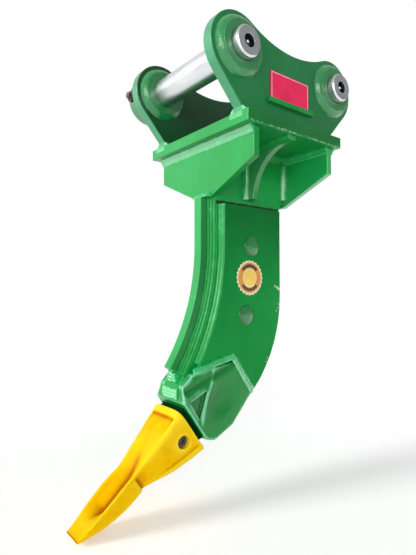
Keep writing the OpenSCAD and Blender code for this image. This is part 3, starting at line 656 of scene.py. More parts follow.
def printed(name, colour, deep, rough=0.35):
    """Printed film or sheet with slight unevenness."""
    n = Shade(name)
    n.set(Base_Color=n.ramp(n.noise(35.0, 4.0), (0.35, deep), (0.65, colour)))
    n.set(Roughness=n.spread(n.noise(120.0, 3.0), rough - 0.08, rough + 0.1))
    n.bump((n.noise(90.0, 3.0), 0.06, 0.2))
    return n.material


# Chips on the cheek's side face: y, z, radius, raggedness and bare colour
CHEEK_CHIPS = [
    (178.0, -379.0, 2.8, 3.2, CHIP_CREAM),
    (172.0, -377.0, 2.2, 3.0, CHIP_CREAM),
    (183.0, -382.0, 2.4, 3.0, CHIP_CREAM),
    (181.0, -418.0, 2.2, 4.0, CHIP_GREY),
    (176.0, -424.0, 2.0, 4.0, CHIP_GREY),
    (182.0, -411.0, 2.0, 3.5, CHIP_CREAM),
    (150.0, -512.0, 2.0, 3.5, CHIP_GOLD),
    (146.0, -520.0, 1.8, 3.0, CHIP_GOLD),
]
CHIPS = [((CHEEK_OUT, y, z), radius, ragged, bare) for y, z, radius, ragged, bare in CHEEK_CHIPS]
# Painted shadow: height of the dark band on the core just above the cheeks' top edge.
CHEEK_SHADOW_BAND = 6.5
# Painted shade on the cheeks, darker towards their top edge: low height, high height and most.
CHEEK_SHADE = (-420.0, -225.0, 0.5)
# Band of the pale ragged run along the base plate's lower right edge.
SPILL_AND_GLINT_BAND = (BASE_LOW - 2.0, BASE_LOW + 3.0)
# Painted shadow on the adapter from a plane just behind the tooth's mouth towards the tooth.
NECK_AT = 10.5
NECK_SHADOW = (NOSE @ (Y * NECK_AT), NOSE.to_3x3() @ Y)
# Plug weld domes left unshaded, shifted a little up and back towards the light; painted shade lies round
# them.
CROWN_LIGHT_SHIFT, CROWN_R = 1.5, PLUG_R * 0.88
UNSHADED_CROWNS = [((side * CHEEK_OUT, y + CROWN_LIGHT_SHIFT, z + CROWN_LIGHT_SHIFT), CROWN_R)
          for side in (1, -1) for y, z in PLUGS]
# Painted shade in the pins' pockets: how far its centre lies inside the pins' right ends, and its radius.
POCKET_SHADE_DEPTH, POCKET_SHADE_R = 7.0, 12.5
SHADED_POCKETS = [((PIN_RIGHT - POCKET_SHADE_DEPTH, y, z), POCKET_SHADE_R) for y, z in PINS]

# Painted light and shade on faces that look one way: direction, cosine where it begins, strength and colour
# Painted highlight on the ears' front edges, which face forward and down.
EAR_EDGE_HIGHLIGHT = (Vector((-0.25, -0.9, -0.3)), 0.45, 0.42, GREEN_EDGE_HIGHLIGHT)
# Painted shade on the far ear's inner face, which the near ear shades.
FAR_EAR_INNER_SHADE = (X, 0.7, 0.75, PAINTED_SHADE_DARK)
# Painted shade on the base plate's sides.
BASE_SIDE_SHADE = [(side, 0.6, 0.5, PAINTED_SHADE_DARK) for side in (X, -X)]
# Painted shade on the wear bar's sides.
BAR_SIDE_SHADE = [(side, 0.7, 0.4, PAINTED_SHADE_DARK) for side in (X, -X)]
# On the ribs, painted light on the front faces and painted shade on the side faces that slope down.
RIB_LIGHT_AND_SHADE = [(-Y, 0.6, 0.5, GREEN_LIT), (X - Z, 0.4, 0.5, PAINTED_SHADE_DARK), (-X - Z, 0.4, 0.5, PAINTED_SHADE_DARK)]

# The greens are one paint. Their tints make lighter and darker copies of it as painted light and shade:
# lighter on the rear gusset, the wear bar, the ribs and the core, darker on the ears, the bosses, the
# cheeks and the adapter.
plate_green = green_paint("plate_green")
box_green = green_paint("box_green", shine=0.6, tint=(1.0, 1.1, 1.1), painted_light_and_shade=RIB_LIGHT_AND_SHADE)
gusset_green_lit = green_paint("gusset_green_lit", shine=0.9, tint=(3.0, 1.3, 1.7))
bar_green = green_paint("bar_green", tint=(3.0, 1.15, 1.3), painted_light_and_shade=BAR_SIDE_SHADE)
core_green = green_paint("core_green", tint=(1.0, 1.1, 1.1), gap_shadow=(CHEEK_TOP, CHEEK_TOP + CHEEK_SHADOW_BAND))
head_green = green_paint("head_green", tint=(1.0, 0.60, 0.85), shine=0.35, painted_light_and_shade=[EAR_EDGE_HIGHLIGHT])
ring_green = green_paint("ring_green", tint=(1.0, 0.66, 0.85), shine=0.8, sag=0.5)
far_green_shaded = green_paint("far_green_shaded", tint=(1.0, 0.60, 0.85), shine=0.35, painted_light_and_shade=[EAR_EDGE_HIGHLIGHT, FAR_EAR_INNER_SHADE])
base_green = green_paint("base_green", painted_light_and_shade=BASE_SIDE_SHADE, spill_and_glint=SPILL_AND_GLINT_BAND)
cheek_green = green_paint("cheek_green", chips=CHIPS, sag=0.15, shine=0.08, tint=(1.0, 0.92, 0.9),
                          shade=CHEEK_SHADE)
cast_green = green_paint("cast_green", brush=0.3, sag=0.9, shine=0.28, tint=(0.5, 0.78, 0.66),
                         relief_shade_and_highlight=True, neck=NECK_SHADOW)
# weld_green is a paler copy as painted highlight; quiet_green, plug_green and boss_green are darker copies
# as painted shade.
weld_green = weld_paint("weld_green", 2.0, 0.08, (1.6, 1.4, 1.9))
quiet_green = weld_paint("quiet_green", 1.12, 0.14, (0.7, 0.82, 0.72))
rib_green = weld_paint("rib_green", 1.5, 0.12)
plug_green = weld_paint("plug_green", 1.5, 0.06, (0.5, 0.55, 0.55), UNSHADED_CROWNS)
boss_green = weld_paint("boss_green", 1.5, 0.16, (0.75, 0.68, 0.8))
bright_steel = pin_steel("bright_steel", SHADED_POCKETS)
nipple_steel = pin_steel("nipple_steel")
black_steel = dark_steel("black_steel")
yellow_cast = tooth_paint("yellow_cast")
plate_red = printed("plate_red", (0.87, 0.008, 0.10), (0.72, 0.004, 0.075))
plate_line = printed("plate_line", (0.85, 0.70, 0.72), (0.75, 0.55, 0.6))
seal_cream = printed("seal_cream", (0.88, 0.78, 0.55), (0.80, 0.68, 0.42))
seal_orange = printed("seal_orange", (0.72, 0.33, 0.06), (0.62, 0.26, 0.04))
seal_yellow = printed("seal_yellow", (0.93, 0.66, 0.13), (0.88, 0.58, 0.09))
seal_dark = printed("seal_dark", (0.09, 0.05, 0.02), (0.06, 0.03, 0.015))


# Softened plates and steel: slot, material, width of the softened edge, and nodes

SOFTENED = [
    ("green_paint", head_green, 1.6, ["ear_right"]),
    ("green_paint", far_green_shaded, 1.6, ["ear_left"]),
    ("green_paint", base_green, 1.8, ["base_plate"]),
    ("green_paint", plate_green, 1.4, ["front_gusset"]),
    ("green_paint", gusset_green_lit, 1.4, ["rear_gusset"]),
    ("green_paint", box_green, 1.4, ["rib_right", "rib_left"]),
    ("green_paint", core_green, 1.6, ["shank_core"]),
    ("green_paint", bar_green, 1.8, ["wear_bar"]),
    ("green_paint", plate_green, 1.0, ["plate_ledge"]),
    ("green_paint", ring_green, 1.6, ["boss_front_right", "boss_front_left"]),
    ("green_paint", ring_green, 1.6, ["boss_rear_right", "boss_rear_left"]),
    ("green_paint", cheek_green, 1.2, ["cheek_right", "cheek_left"]),
    ("pin_steel", bright_steel, 0.5, ["front_pin", "rear_pin"]),
    ("pin_steel", nipple_steel, 0.5, ["grease_nipples"]),
]
SMALL_STEPS = 2
SMALL_PARTS = ["pin_lock_bolts", "pin_lock_washers", "pin_lock_nuts", "tooth_pin", "tooth_retainer"]
for slot, material, width, nodes in SOFTENED:
    for node in nodes:
        bevelled(node, width, material, slot)
for node in SMALL_PARTS:
    bevelled(node, 0.6, black_steel, "dark_steel", SMALL_STEPS)


# Castings

def blend_to(a, b, t):
    return a + (b - a) * t


def ease(t):
    t = max(0.0, min(1.0, t))
    return t * t * (3 - 2 * t)


def grow(a, begin, end):
    """From 0 at begin to 1 at end, with soft ends."""
    return ease((a - begin) / (end - begin))


def hill(a, span):
    """0, then 1 between the middle two of four places, then 0 again."""
    return grow(a, span[0], span[1]) * (1 - grow(a, span[2], span[3]))


def uneven(p, layers):
    """Sum of layers of noise at a point; each is (height, scale)."""
    return sum(height * noise.noise(p * scale) for height, scale in layers)


# Adapter, in the nose frame: y runs back from the tooth's mouth and z up

ADAPTER_VOXEL, ADAPTER_GRAIN = 1.3, [(0.5, 0.05), (0.15, 0.25)]
RIDGE, RIDGE_HALF = 2.2, 4.0
RIDGE_FROM, RIDGE_TO, RIDGE_ROOT = Vector((21.0, 0.0)), Vector((60.0, 30.0)), (14.0, 22.0)
HOLLOW, HOLLOW_AT, HOLLOW_R = 5.0, (74.0, -2.0), (40.0, 30.0)
TROUGH, TROUGH_HALF = 3.5, 7.0
TROUGH_Y, TROUGH_Z, TROUGH_ROOT = (22.0, 106.0), (56.0, 36.0), (16.0, 30.0)


def ridge_line(q):
    """Distance behind the slanting border of a strap's hollow."""
    along = (RIDGE_TO - RIDGE_FROM).normalized()
    return (q.y - RIDGE_FROM.x) * along.y - (q.z - RIDGE_FROM.y) * along.x


def trough_line(q):
    """Distance above the trough under a strap's upper edge."""
    return q.z - blend_to(*TROUGH_Z, (q.y - TROUGH_Y[0]) / (TROUGH_Y[1] - TROUGH_Y[0]))


def strap_relief(q):
    """How far a strap's side stands out at a point."""
    ridge = RIDGE * math.exp(-((ridge_line(q) - RIDGE_HALF) / RIDGE_HALF) ** 2) * grow(q.y, *RIDGE_ROOT)
    far = math.hypot((q.y - HOLLOW_AT[0]) / HOLLOW_R[0], (q.z - HOLLOW_AT[1]) / HOLLOW_R[1])
    trough = TROUGH * math.exp(-(trough_line(q) / TROUGH_HALF) ** 2) * grow(q.y, *TROUGH_ROOT)
    return ridge - HOLLOW * ease(1.25 - far) - trough


def cast_adapter():
    """The adapter with the rounded edges and ridges of a casting."""
    back = NOSE.inverted()
    mesh = modified(joined_copy("nose_adapter"), "nose_cast",
                    ("REMESH", {"mode": "VOXEL", "voxel_size": ADAPTER_VOXEL * MM}),
                    ("SMOOTH", {"factor": 0.5, "iterations": 8}))
    places = [v.co.copy() for v in mesh.vertices]
    normals = [v.normal.copy() for v in mesh.vertices]
    for v, place, normal in zip(mesh.vertices, places, normals):
        p = place / MM
        q = back @ p
        lift = uneven(p, ADAPTER_GRAIN)
        if abs(q.x) > CHEEK_OUT:
            lift += strap_relief(q)
        v.co = place + normal * lift * MM
    # Depths for the painted shade in its hollows and the painted highlight on its ridges.
    mark_relief(mesh, (10, 1.4), (70, 5.0))
    finish_normals(mesh, ADAPTER_SHARP)
    keep("nose_cast", mesh, cast_green, "green_cast", "nose_adapter")


# Tooth, drawn as rings at distances from its mouth, in the nose frame

TOOTH_L, WAIST = 227.0, 114.0
MOUTH_HALF, WAIST_HALF, BLADE_HALF, TIP_HALF = 42.0, 25.5, 29.0, 20.0
MOUTH_TOP, MOUTH_LOW, WAIST_LOW, BLADE_LOW, TIP_THICK = 41.0, 47.0, 18.0, 20.0, 2.5
SWELL, COLLAR, COLLAR_L, COLLAR_END = 3.0, 3.0, 10.0, 14.0
SCOOP, SCOOP_SHARE, SCOOP_SPAN = 15.0, 0.6, (45.0, 120.0, 172.0, 208.0)
RIM, RIM_SPAN = 1.2, (COLLAR_L, COLLAR_END, 20.0, 55.0)
RECESS, RECESS_SPAN = 2.2, (COLLAR_L + 1.0, COLLAR_L + 6.0, 22.0, 67.0)
WING, WING_SPAN = 1.6, (WAIST, WAIST + 25.0, 170.0, 210.0)
LIP, LIP_END = 2.8, (60.0, 95.0)
MOUTH_ROUND, BLADE_ROUND, LOW_ROUND, ROUND_CHANGE = 0.40, 0.24, 0.22, (60.0, 130.0)
STEP_SPAN, SOFT_SPAN = (WAIST - 1.5, WAIST + 3.5), (WAIST - 30.0, WAIST + 30.0)
POCKET_HALF, POCKET_END_HALF, POCKET_L = 31.3, 20.3, 78.3
POCKET_HIGH, POCKET_END_HIGH = 31.3, 11.3
HOLE_AT, HOLE_R, HOLE_L = Vector((0, -23.5, -5.5)), 11.0, 120.0
TOOTH_SIDES, TOOTH_GRAIN = 160, [(0.35, 0.06), (0.16, 0.22), (0.08, 0.6)]
MOUTH_INSETS, TIP_INSET = {0.0: 1.6, 0.4: 0.8, 1.0: 0.3}, 0.8
PLAIN_RINGS = 4


def tooth_section(a):
    """Half widths below and above, top and bottom of the tooth at distance a from its mouth."""
    box_t = a / WAIST
    blade_t = max(0.0, (a - WAIST) / (TOOTH_L - WAIST))
    swell = SWELL * math.sin(math.pi * (box_t if a < WAIST else blade_t))
    box_half, box_low = blend_to(MOUTH_HALF, WAIST_HALF, box_t), blend_to(MOUTH_LOW, WAIST_LOW, box_t)
    blade_half = blend_to(BLADE_HALF, TIP_HALF, blade_t)
    blade_low = TIP_THICK + (BLADE_LOW - TIP_THICK) * (1 - blade_t ** 2.2)
    step = grow(a, *STEP_SPAN)
    half = blend_to(box_half, blade_half, step) + swell
    soft = blend_to(box_half, blade_half, grow(a, *SOFT_SPAN)) + swell
    low = blend_to(box_low, blade_low, step) + swell
    rise = swell * 0.8 + TIP_THICK + (MOUTH_TOP - TIP_THICK) * (1 - a / TOOTH_L) ** 1.6
    return half, soft, rise - COLLAR * grow(a, COLLAR_L, COLLAR_END), low


def square_spots(sides):
    """Even steps round a square of half side 1, from its right middle."""
    spots = []
    for i in range(sides):
        t = (8 * i / sides + 1) % 8
        side, along = int(t // 2), t % 2 - 1
        spots.append([(1, along), (-along, 1), (-1, -along), (along, -1)][side])
    return spots


def tooth_ring(a, inset):
    """One ring of the skin. The shares below are of the half width and of the height."""
    half, soft, top, low = tooth_section(a)
    upper = 2 / blend_to(MOUTH_ROUND, BLADE_ROUND, grow(a, *ROUND_CHANGE))
    scoop = min(SCOOP, SCOOP_SHARE * (top + low)) * hill(a, SCOOP_SPAN)
    recess = RECESS * hill(a, RECESS_SPAN)
    rim = RIM * hill(a, RIM_SPAN)
    wing = WING * hill(a, WING_SPAN)
    lip = LIP * (1 - grow(a, *LIP_END))
    ring = []
    for u, v in square_spots(TOOTH_SIDES):
        power = upper if v > 0 else 2 / LOW_ROUND
        shrink = (abs(u) ** power + abs(v) ** power) ** (-1 / power)
        x, z = u * shrink, v * shrink
        side = abs(x)
        height = z * top if z > 0 else z * low
        width = blend_to(half, soft, grow(z, 0.2, 0.7)) - inset
        if z > 0:
            vee = min(1.0, max(0.0, (0.93 - side) / 0.85))
            height -= (scoop * vee + recess * (1 - grow(side, 0.66, 0.86))) * grow(z, 0.0, 0.8)
            height += (rim * grow(side, 0.7, 0.85) + wing * grow(side, 0.7, 0.9)) * grow(z, 0.6, 0.9)
        else:
            width += lip * grow(-z, 0.66, 0.73)
        ring.append(Vector((x * width, -a, height - math.copysign(inset, height) * abs(z))))
    return ring


def pocket_ring(a):
    """One ring of the pocket, on a tapering rectangle."""
    t = a / POCKET_L
    half = blend_to(POCKET_HALF, POCKET_END_HALF, t)
    high = blend_to(POCKET_HIGH, POCKET_END_HIGH, t)
    return [Vector((u * half, -a, v * high)) for u, v in square_spots(TOOTH_SIDES)]


def rough(p):
    """A point of the skin with the unevenness of a casting."""
    return p + Vector((p.x, 0, p.z)).normalized() * uneven(p, TOOTH_GRAIN)


def hole_cutter():
    """A cylinder through the tooth where its pin goes in."""
    place = NOSE @ Matrix.Translation(HOLE_AT) @ Matrix.Rotation(math.pi / 2, 4, "Y")
    mesh = bpy.data.meshes.new("hole_cut")
    with edited(mesh) as bm:
        bmesh.ops.create_cone(bm, cap_ends=True, segments=64, radius1=HOLE_R, radius2=HOLE_R, depth=HOLE_L)
        bmesh.ops.transform(bm, matrix=Matrix.Scale(MM, 4) @ place, verts=bm.verts)
    return placed("hole_cut", mesh)


def cast_tooth():
    """The tooth, from its pocket out to the mouth and along the skin to the tip."""
    spots = [0.0, 0.4, 1.0, 2.0, 4.0, 6.0, 8.0, 9.4] + [COLLAR_L + i * 0.7 for i in range(6)]
    spots += [15.0 + i * 1.8 for i in range(117)] + [226.4]
    skin = [tooth_ring(a, MOUTH_INSETS.get(a, 0.0)) for a in spots] + [tooth_ring(TOOTH_L, TIP_INSET)]
    rings = [pocket_ring(a) for a in (POCKET_L, 60.0, 40.0, 20.0, 0.0)] + skin[:PLAIN_RINGS]
    rings += [[rough(p) for p in ring] for ring in skin[PLAIN_RINGS:]]
    points = [NOSE @ p for ring in rings for p in ring]
    faces = walls(0, len(rings), TOOTH_SIDES)
    faces += [cap(0, 0, TOOTH_SIDES), cap(0, len(rings) - 1, TOOTH_SIDES)]
    mesh = mesh_from("tooth_cast", points, faces, TOOTH_SHARP)
    cutter = hole_cutter()
    cut = {"operation": "DIFFERENCE", "solver": "MANIFOLD", "object": cutter}
    mesh = cleaned(modified(mesh, "tooth_cast", ("BOOLEAN", cut)))
    bpy.data.objects.remove(cutter)
    # Depths for the painted shade in its hollows and the painted highlight on its ridges.
    mark_relief(mesh, (8, 1.2), (80, 5.0))
    finish_normals(mesh, TOOTH_SHARP)
    keep("tooth_cast", mesh, yellow_cast, "tooth_yellow", "tooth")


cast_adapter()
cast_tooth()


# Welds

FOOT_OVER, FOOT_DROP = 5.0, 1.0
FOOT_UP, FOOT_DOWN = Y * 3 + Z * 2.5, -Z * 8
SEAM_LEG_Y, SEAM_LEG_Z = 10.0, 9.0
RIB_LEG, RIB_SHORT = 10.8, 14.0
STRAP_BACK, STRAP_UP, STRAP_LOW = 138.0, 32.0, -43.0
STRAP_PEAK, STRAP_OUTWARD = (56.0, 67.2), Vector((0, 36.0, 84.0)).normalized()
STRAP_OVER, STRAP_BEHIND, STRAP_ABOVE = 8.0, 11.0, 10.0
STRAP_RISE, STRAP_SHARE, STRAP_LAP = 0.8, 0.8, 3.0
END_HALF, END_OUT, END_DOWN = 11.0, 12.0, 14.0
ROOT_AT, ROOT_UP, ROOT_DOWN = (22.0, 57.0), Z * 5.0, Vector((0, -8, -8.7))


def boss_beads():
    runs = []
    for pin in PINS:
        runs.append(ring_run(EAR_OUT, pin, BOSS_R, BOSS_LEG, 1))
        runs.append(ring_run(EAR_IN, pin, BOSS_R, BOSS_LEG, -1))
        runs.append(ring_run(-EAR_IN, pin, BOSS_R, BOSS_LEG, 1))
        runs.append(ring_run(-EAR_OUT, pin, COLLAR_R, BOSS_LEG, -1))
    return bead_mesh("boss_beads", 1, runs, crown=1.0, scale=0.3, pitch=5.5)


def ear_beads():
    """Beads along both sides of the ears' feet, and a short one over the base plate's front edge."""
    front, back, foot = BASE_FRONT + FOOT_SET, BASE_BACK - FOOT_SET, BASE_TOP - FOOT_DROP
    runs = [straight_run((x, front, BASE_TOP), (x, back, BASE_TOP), leg, Z * EAR_LEG)
            for x, leg in ((EAR_OUT, X * EAR_LEG), (EAR_IN, -X * EAR_LEG))]
    runs.append(straight_run((EAR_IN - FOOT_OVER, BASE_FRONT, foot),
                             (EAR_OUT + FOOT_OVER, BASE_FRONT, foot), FOOT_UP, FOOT_DOWN))
    return bead_mesh("ear_beads", 2, mirrored(runs))


def gusset_beads():
    """Beads between the gussets and the base plate, and one at the front gusset's lower end."""
    down, fore, aft = -Z * GUSSET_LEG_Z, -Y * GUSSET_LEG_Y, Y * GUSSET_LEG_Y

    def under_base(x0, x1, y, leg):
        return straight_run((x0, y, BASE_LOW), (x1, y, BASE_LOW), leg, down)

    runs = [under_base(-GUSSET_HALF, GUSSET_HALF, GUSSET_FRONT, fore),
            under_base(-GUSSET_HALF, GUSSET_HALF, GUSSET_BACK, aft),
            straight_run((-CORE_HALF, GUSSET_FRONT, GUSSET_LOW), (CORE_HALF, GUSSET_FRONT, GUSSET_LOW),
                         -Y * SEAM_LEG_Y, Z * SEAM_LEG_Z)]
    sides = [under_base(CORE_HALF, GUSSET_HALF, GUSSET_INNER, fore)]
    return bead_mesh("gusset_beads", 3, runs + mirrored(sides), crown=1.0, passes=2, pitch=6.0)


def rib_beads():
    """Beads up the core's sides at the ribs and the rear gusset, and along the base plate's underside."""
    out, down, fore, aft = X * RIB_LEG, -Z * RIB_LEG, -Y * RIB_LEG, Y * RIB_LEG

    def upright(y, low, high, leg):
        return straight_run((CORE_HALF, y, low), (CORE_HALF, y, high), leg, out)

    def lengthwise(y0, y1):
        return straight_run((CORE_HALF, y0, BASE_LOW), (CORE_HALF, y1, BASE_LOW), down, out)

    runs = [upright(RIB_FRONT, RIB_LOW, BASE_LOW, fore),
            upright(RIB_BACK, RIB_LOW, BASE_LOW, aft),
            upright(GUSSET_INNER, GUSSET_LOW + RIB_SHORT, BASE_LOW - GUSSET_LEG_Z, fore),
            lengthwise(CORE_FRONT, RIB_FRONT),
            lengthwise(RIB_BACK, GUSSET_INNER - GUSSET_LEG_Y),
            straight_run((CORE_HALF, RIB_FRONT, BASE_LOW), (RIB_TIP_X, RIB_FRONT, BASE_LOW), down, fore)]
    return bead_mesh("rib_beads", 4, mirrored(runs), crown=1.0, scale=0.35)


def bar_beads():
    reach = CORE_HALF - BAR_HALF
    run = curve_run(FRONT_EDGE, GUSSET_LOW, BAR_SWEEP, (BAR_HALF, 0), (BAR_HALF, -reach), (CORE_HALF, 0))
    return bead_mesh("bar_beads", 5, mirrored([run]), crown=0.8, passes=3, pitch=4.0, scale=0.6, groove=1.2)


def cheek_run(edge, sweep):
    """The run between the core's bare edge and a cheek's outer face."""
    return curve_run(edge, CHEEK_TOP, sweep, (CORE_HALF, CHEEK_SET), (CORE_HALF, CHEEK_BARE),
                     (CHEEK_OUT, CHEEK_SET))


def cheek_beads():
    runs = mirrored([cheek_run(FRONT_EDGE, CHEEK_SWEEP)])
    return bead_mesh("cheek_beads", 6, runs, crown=0.8, passes=2, pitch=4.5, groove=1.0)


def back_beads():
    runs = mirrored([cheek_run(BACK_EDGE, BACK_SWEEP)])
    return bead_mesh("back_beads", 7, runs, crown=1.0, passes=2, pitch=4.5)


def strap_beads():
    """Beads where a strap stands on its cheek, drawn in the nose frame."""
    tall = STRAP_OUT - CHEEK_OUT
    rear_up = Vector((CHEEK_OUT, STRAP_BACK, STRAP_UP))
    rear_low = Vector((CHEEK_OUT, STRAP_BACK, STRAP_LOW))
    runs = [straight_run(rear_low, rear_up + Z * STRAP_LAP,
                         X * (tall + STRAP_RISE) - Y * STRAP_OVER, Y * STRAP_BEHIND),
            straight_run(rear_up + Y * STRAP_LAP, (CHEEK_OUT, *STRAP_PEAK),
                         X * tall * STRAP_SHARE, STRAP_OUTWARD * STRAP_ABOVE)]
    runs = mirrored(moved(runs, NOSE))
    return bead_mesh("strap_beads", 8, runs, crown=2.8, pitch=7.0, scale=0.9, wobble=1.2)


def nose_beads():
    """Rough runs under the wear bar's end and across the adapter's root."""
    end = math.radians(BAR_SWEEP)
    spoke = Vector((0, math.cos(end), -math.sin(end)))
    tangent = Vector((0, -math.sin(end), -math.cos(end)))
    corner = Vector((0, CORE_FRONT - FRONT_R, FRONT_START)) + spoke * FRONT_R
    begin, finish = corner - X * END_HALF, corner + X * END_HALF
    runs = [straight_run(begin, finish, -spoke * END_OUT, tangent * END_DOWN)]
    root = [straight_run((-CORE_HALF, *ROOT_AT), (CORE_HALF, *ROOT_AT), ROOT_UP, ROOT_DOWN)]
    return bead_mesh("nose_beads", 9, runs + moved(root, NOSE), crown=2.6, passes=3, pitch=6.0, scale=1.6,
                     wobble=1.8, groove=1.8)


PLUG_SPOKES, PLUG_STEPS = 56, 14
PLUG_TURN, PLUG_WAVE, PLUG_SINK, PLUG_ROUGH = 6.0, 0.14, 0.2, 0.05


def plug_points(side, y, z):
    """Rings of one plug weld laid in a spiral, from its middle to its root in the cheek."""
    points = []
    angles = [2 * math.pi * k / PLUG_SPOKES for k in range(PLUG_SPOKES)]
    for i in range(PLUG_STEPS + 1):
        share = i / PLUG_STEPS
        for k, a in enumerate(angles):
            wave = math.sin(2 * math.pi * (PLUG_R * share / PLUG_TURN + k / PLUG_SPOKES))
            lift = PLUG_CROWN * (1 - share ** 2.2) + PLUG_WAVE * wave * (1 - share ** 4)
            waver = noise.noise(Vector((math.cos(a), math.sin(a), y * 0.1)) * 1.7)
            r = PLUG_R * share * (1 + PLUG_ROUGH * waver)
            points.append((side * (CHEEK_OUT + lift - PLUG_SINK), y + r * math.cos(a), z + r * math.sin(a)))
    return points + [(side * CORE_HALF, y + PLUG_R * math.cos(a), z + PLUG_R * math.sin(a)) for a in angles]


def plug_domes():
    points, faces = [], []
    for side in (1, -1):
        for y, z in PLUGS:
            faces += walls(len(points), PLUG_STEPS + 2, PLUG_SPOKES)
            faces.append(cap(len(points), PLUG_STEPS + 1, PLUG_SPOKES))
            points += plug_points(side, y, z)
    mesh = mesh_from("plug_domes", points, faces, BEAD_SHARP)
    with edited(mesh) as bm:
        bmesh.ops.remove_doubles(bm, verts=bm.verts, dist=SAME_POINT * MM)
    finish_normals(mesh, BEAD_SHARP)
    return mesh


WELDS = [
    ("boss_welds", boss_beads, boss_green),
    ("ear_welds", ear_beads, weld_green),
    ("gusset_welds", gusset_beads, weld_green),
    ("rib_welds", rib_beads, rib_green),
    ("bar_welds", bar_beads, quiet_green),
    ("cheek_welds", cheek_beads, quiet_green),
    ("back_welds", back_beads, quiet_green),
    ("strap_welds", strap_beads, weld_green),
    ("nose_welds", nose_beads, weld_green),
    ("plug_welds", plug_domes, plug_green),
]
for node, make, paint in WELDS:
    weld = make()
    keep(weld.name, weld, paint, "weld_paint", node)


# Name plate and seal

LINE_W, LINE_MARGIN, LINE_LIFT = 1.0, 1.6, 0.15
SEAL_AT, SEAL_R = (SEAL_LOW + SEAL_HIGH) / 2, (SEAL_HIGH.y - SEAL_LOW.y) / 2
SEAL_T, SEAL_SPOKES, SEAL_TEETH, SCALLOP = 0.6, 192, 24, 0.035
SEAL_TINTS = [seal_cream, seal_orange, seal_yellow, seal_dark]
CREAM, ORANGE, MIDDLE, DARK = range(4)
SEAL_RINGS = [(0.0, MIDDLE), (0.48, CREAM), (0.53, ORANGE), (0.58, ORANGE), (0.76, ORANGE),
              (0.86, CREAM), (0.97, CREAM), (1.0, CREAM)]
ARC_RING, ARC_FROM = 3, 0.6


def red_plate():
    """A bare red plate with a thin pale line inside its edge."""
    bevelled("name_plate", 0.5, plate_red, "plate_red", SMALL_STEPS)
    low, high = box("name_plate")
    front, back = high.x + LINE_LIFT, high.x - LINE_LIFT
    outer, inner = LINE_MARGIN, LINE_MARGIN + LINE_W
    points = []
    for x, inset in ((front, outer), (front, inner), (back, inner), (back, outer)):
        left, right = low.y + inset, high.y - inset
        bottom, top = low.z + inset, high.z - inset
        points += [(x, left, bottom), (x, right, bottom), (x, right, top), (x, left, top)]
    mesh = mesh_from("plate_border", points, walls(0, 4, 4, closed=True), LINE_SHARP)
    keep("plate_border", mesh, plate_line, "plate_red")


def seal_points():
    """Rings of the seal's face, with a scalloped edge, and that edge again on the cheek."""
    points = []
    for share, _ in SEAL_RINGS:
        for k in range(SEAL_SPOKES):
            a = 2 * math.pi * k / SEAL_SPOKES
            edge = 1 - SCALLOP * (1 - math.cos(SEAL_TEETH * a)) if share == 1.0 else 1.0
            r = SEAL_R * share * edge
            points.append((CHEEK_OUT + SEAL_T, SEAL_AT.y + r * math.cos(a), SEAL_AT.z + r * math.sin(a)))
    return points + [(CHEEK_OUT, y, z) for _, y, z in points[-SEAL_SPOKES:]]


def seal_tint(number, tint, k):
    """A ring's tint at one spoke; two dark arcs stand where the words were."""
    turn = abs(math.sin(2 * math.pi * (k + 0.5) / SEAL_SPOKES))
    return DARK if number == ARC_RING and turn > ARC_FROM else tint


def seal():
    """A scalloped round seal with rings and two plain bands, no words."""
    rings = len(SEAL_RINGS)
    faces = walls(0, rings + 1, SEAL_SPOKES) + [cap(0, rings, SEAL_SPOKES)]
    tints = [seal_tint(i, tint, k) for i, (_, tint) in enumerate(SEAL_RINGS) for k in range(SEAL_SPOKES)]
    mesh = bpy.data.meshes.new("round_seal")
    mesh.from_pydata([Vector(p) * MM for p in seal_points()], [], faces)
    for material in SEAL_TINTS:
        mesh.materials.append(material)
    mesh.polygons.foreach_set("material_index", tints + [CREAM])
    with edited(mesh) as bm:
        bmesh.ops.remove_doubles(bm, verts=bm.verts, dist=SAME_POINT * MM)
        bmesh.ops.recalc_face_normals(bm, faces=bm.faces)
    keep("round_seal", mesh, None, "seal_paper", "seal_label")


red_plate()
seal()


# Stage

FLOOR_SIZE, FLOOR_GAP = 60.0, 4.0
FLOOR_COLOUR, WHITE = (0.92, 0.92, 0.92), (1.0, 1.0, 1.0)
FLOOR_LIFT, FLOOR_SHINE = 0.3, 0.8
SKY_TOP, SKY_LIGHT, SKY_FALL = 0.6, 0.95, 0.35
BRIGHT_SIDE = (-0.6, -0.8, 0.0)
SHADY, ROOM_SPAN = 0.4, (-0.7, 0.3)
PANEL, PANEL_SPAN = 0.9, (0.75, 0.95)
KEY_TOWARDS, KEY_STRENGTH, KEY_ANGLE = (0.35, 1.0, -0.42), 2.3, 18.0
FILL_TOWARDS, FILL_STRENGTH, FILL_ANGLE = (-0.75, 0.65, -0.08), 1.9, 40.0


def floor():
    """A wide pale floor that shows a little lighter than it is lit."""
    half = FLOOR_SIZE / 2
    z = CAD_LOW.z - FLOOR_GAP * MM
    mesh = bpy.data.meshes.new("floor")
    mesh.from_pydata([(-half, -half, z), (half, -half, z), (half, half, z), (-half, half, z)], [],
                     [(0, 1, 2, 3)])
    n = Shade("floor_white")
    path = n.add("LightPath", {}).outputs
    lift = n.maths("MULTIPLY", path["Is Camera Ray"], FLOOR_LIFT)
    shine = n.maths("MULTIPLY", path["Is Glossy Ray"], FLOOR_SHINE)
    n.set(Base_Color=FLOOR_COLOUR, Roughness=0.9)
    n.set(Emission_Color=WHITE, Emission_Strength=n.maths("ADD", lift, shine))
    mesh.materials.append(n.material)
    placed("floor", mesh)


def sun(name, towards, strength, angle):
    """A wide, distant lamp that shines along the given direction."""
    data = bpy.data.lights.new(name, "SUN")
    data.energy = strength
    data.angle = math.radians(angle)
    placed(name, data).rotation_euler = Vector(towards).to_track_quat("-Z", "Y").to_euler()


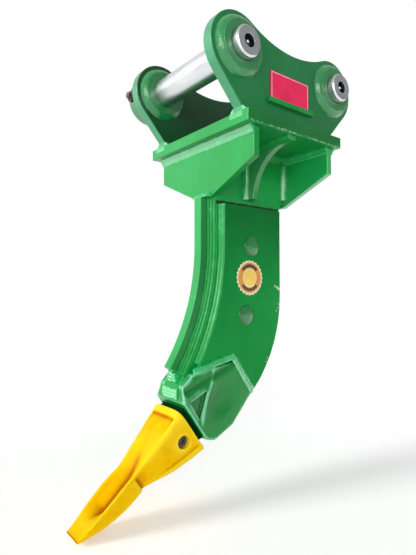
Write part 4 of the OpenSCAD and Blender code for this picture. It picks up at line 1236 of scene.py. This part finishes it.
def world():
    """White behind the object; reflections dim to one side, and less light falls from above."""
    studio = bpy.data.worlds.new("studio")
    bpy.context.scene.world = studio
    studio.use_nodes = True
    n = Nodes(studio.node_tree)
    place = n.add("TexCoord", {}).outputs["Generated"]
    height = n.add("SeparateXYZ", {0: place}).outputs["Z"]
    facing = n.dot(place, BRIGHT_SIDE)

    def background(strength=1.0):
        return n.add("Background", {"Color": WHITE, "Strength": strength}).outputs[0]

    def choose(rays, first, second):
        return n.add("MixShader", {0: rays, 1: first, 2: second}).outputs[0]

    light = background(n.span(height, 0.0, SKY_TOP, SKY_LIGHT, SKY_LIGHT * SKY_FALL))
    room = background(n.span(facing, *ROOM_SPAN, SHADY, 1.0))
    panel = background(n.span(facing, *PANEL_SPAN, 0.0, PANEL))
    mirror = n.add("AddShader", {0: room, 1: panel}).outputs[0]
    path = n.add("LightPath", {}).outputs
    shown = choose(path["Is Glossy Ray"], light, mirror)
    shown = choose(path["Is Transmission Ray"], shown, background())
    shown = choose(path["Is Camera Ray"], shown, background())
    n.fill(n.tree.nodes["World Output"].inputs["Surface"], shown)


# Camera, recovered from the photo; its place is in metres

CAMERA_AT = (0.64096, -0.46982, -0.38368)
CAMERA_RIGHT = Vector((0.6175, 0.7866, 0.0))
CAMERA_AHEAD = Vector((-0.7863, 0.6172, 0.0279))
CAMERA_NEAR = 20.0
FOCAL_PIXELS, IMAGE_HEIGHT = 449.0, 555.0
SENSOR = 24.0


def camera():
    data = bpy.data.cameras.new("camera")
    data.sensor_fit = "VERTICAL"
    data.sensor_height = SENSOR
    data.lens = SENSOR * FOCAL_PIXELS / IMAGE_HEIGHT
    data.clip_start = CAMERA_NEAR * MM
    ahead = CAMERA_AHEAD.normalized()
    right = (CAMERA_RIGHT - ahead * CAMERA_RIGHT.dot(ahead)).normalized()
    turn = Matrix((right, right.cross(ahead), -ahead)).transposed().to_4x4()
    obj = placed("camera", data)
    obj.matrix_world = Matrix.Translation(CAMERA_AT) @ turn
    bpy.context.scene.camera = obj


floor()
sun("front_key", KEY_TOWARDS, KEY_STRENGTH, KEY_ANGLE)
sun("right_fill", FILL_TOWARDS, FILL_STRENGTH, FILL_ANGLE)
world()
camera()

bpy.context.scene.view_settings.view_transform = "Standard"
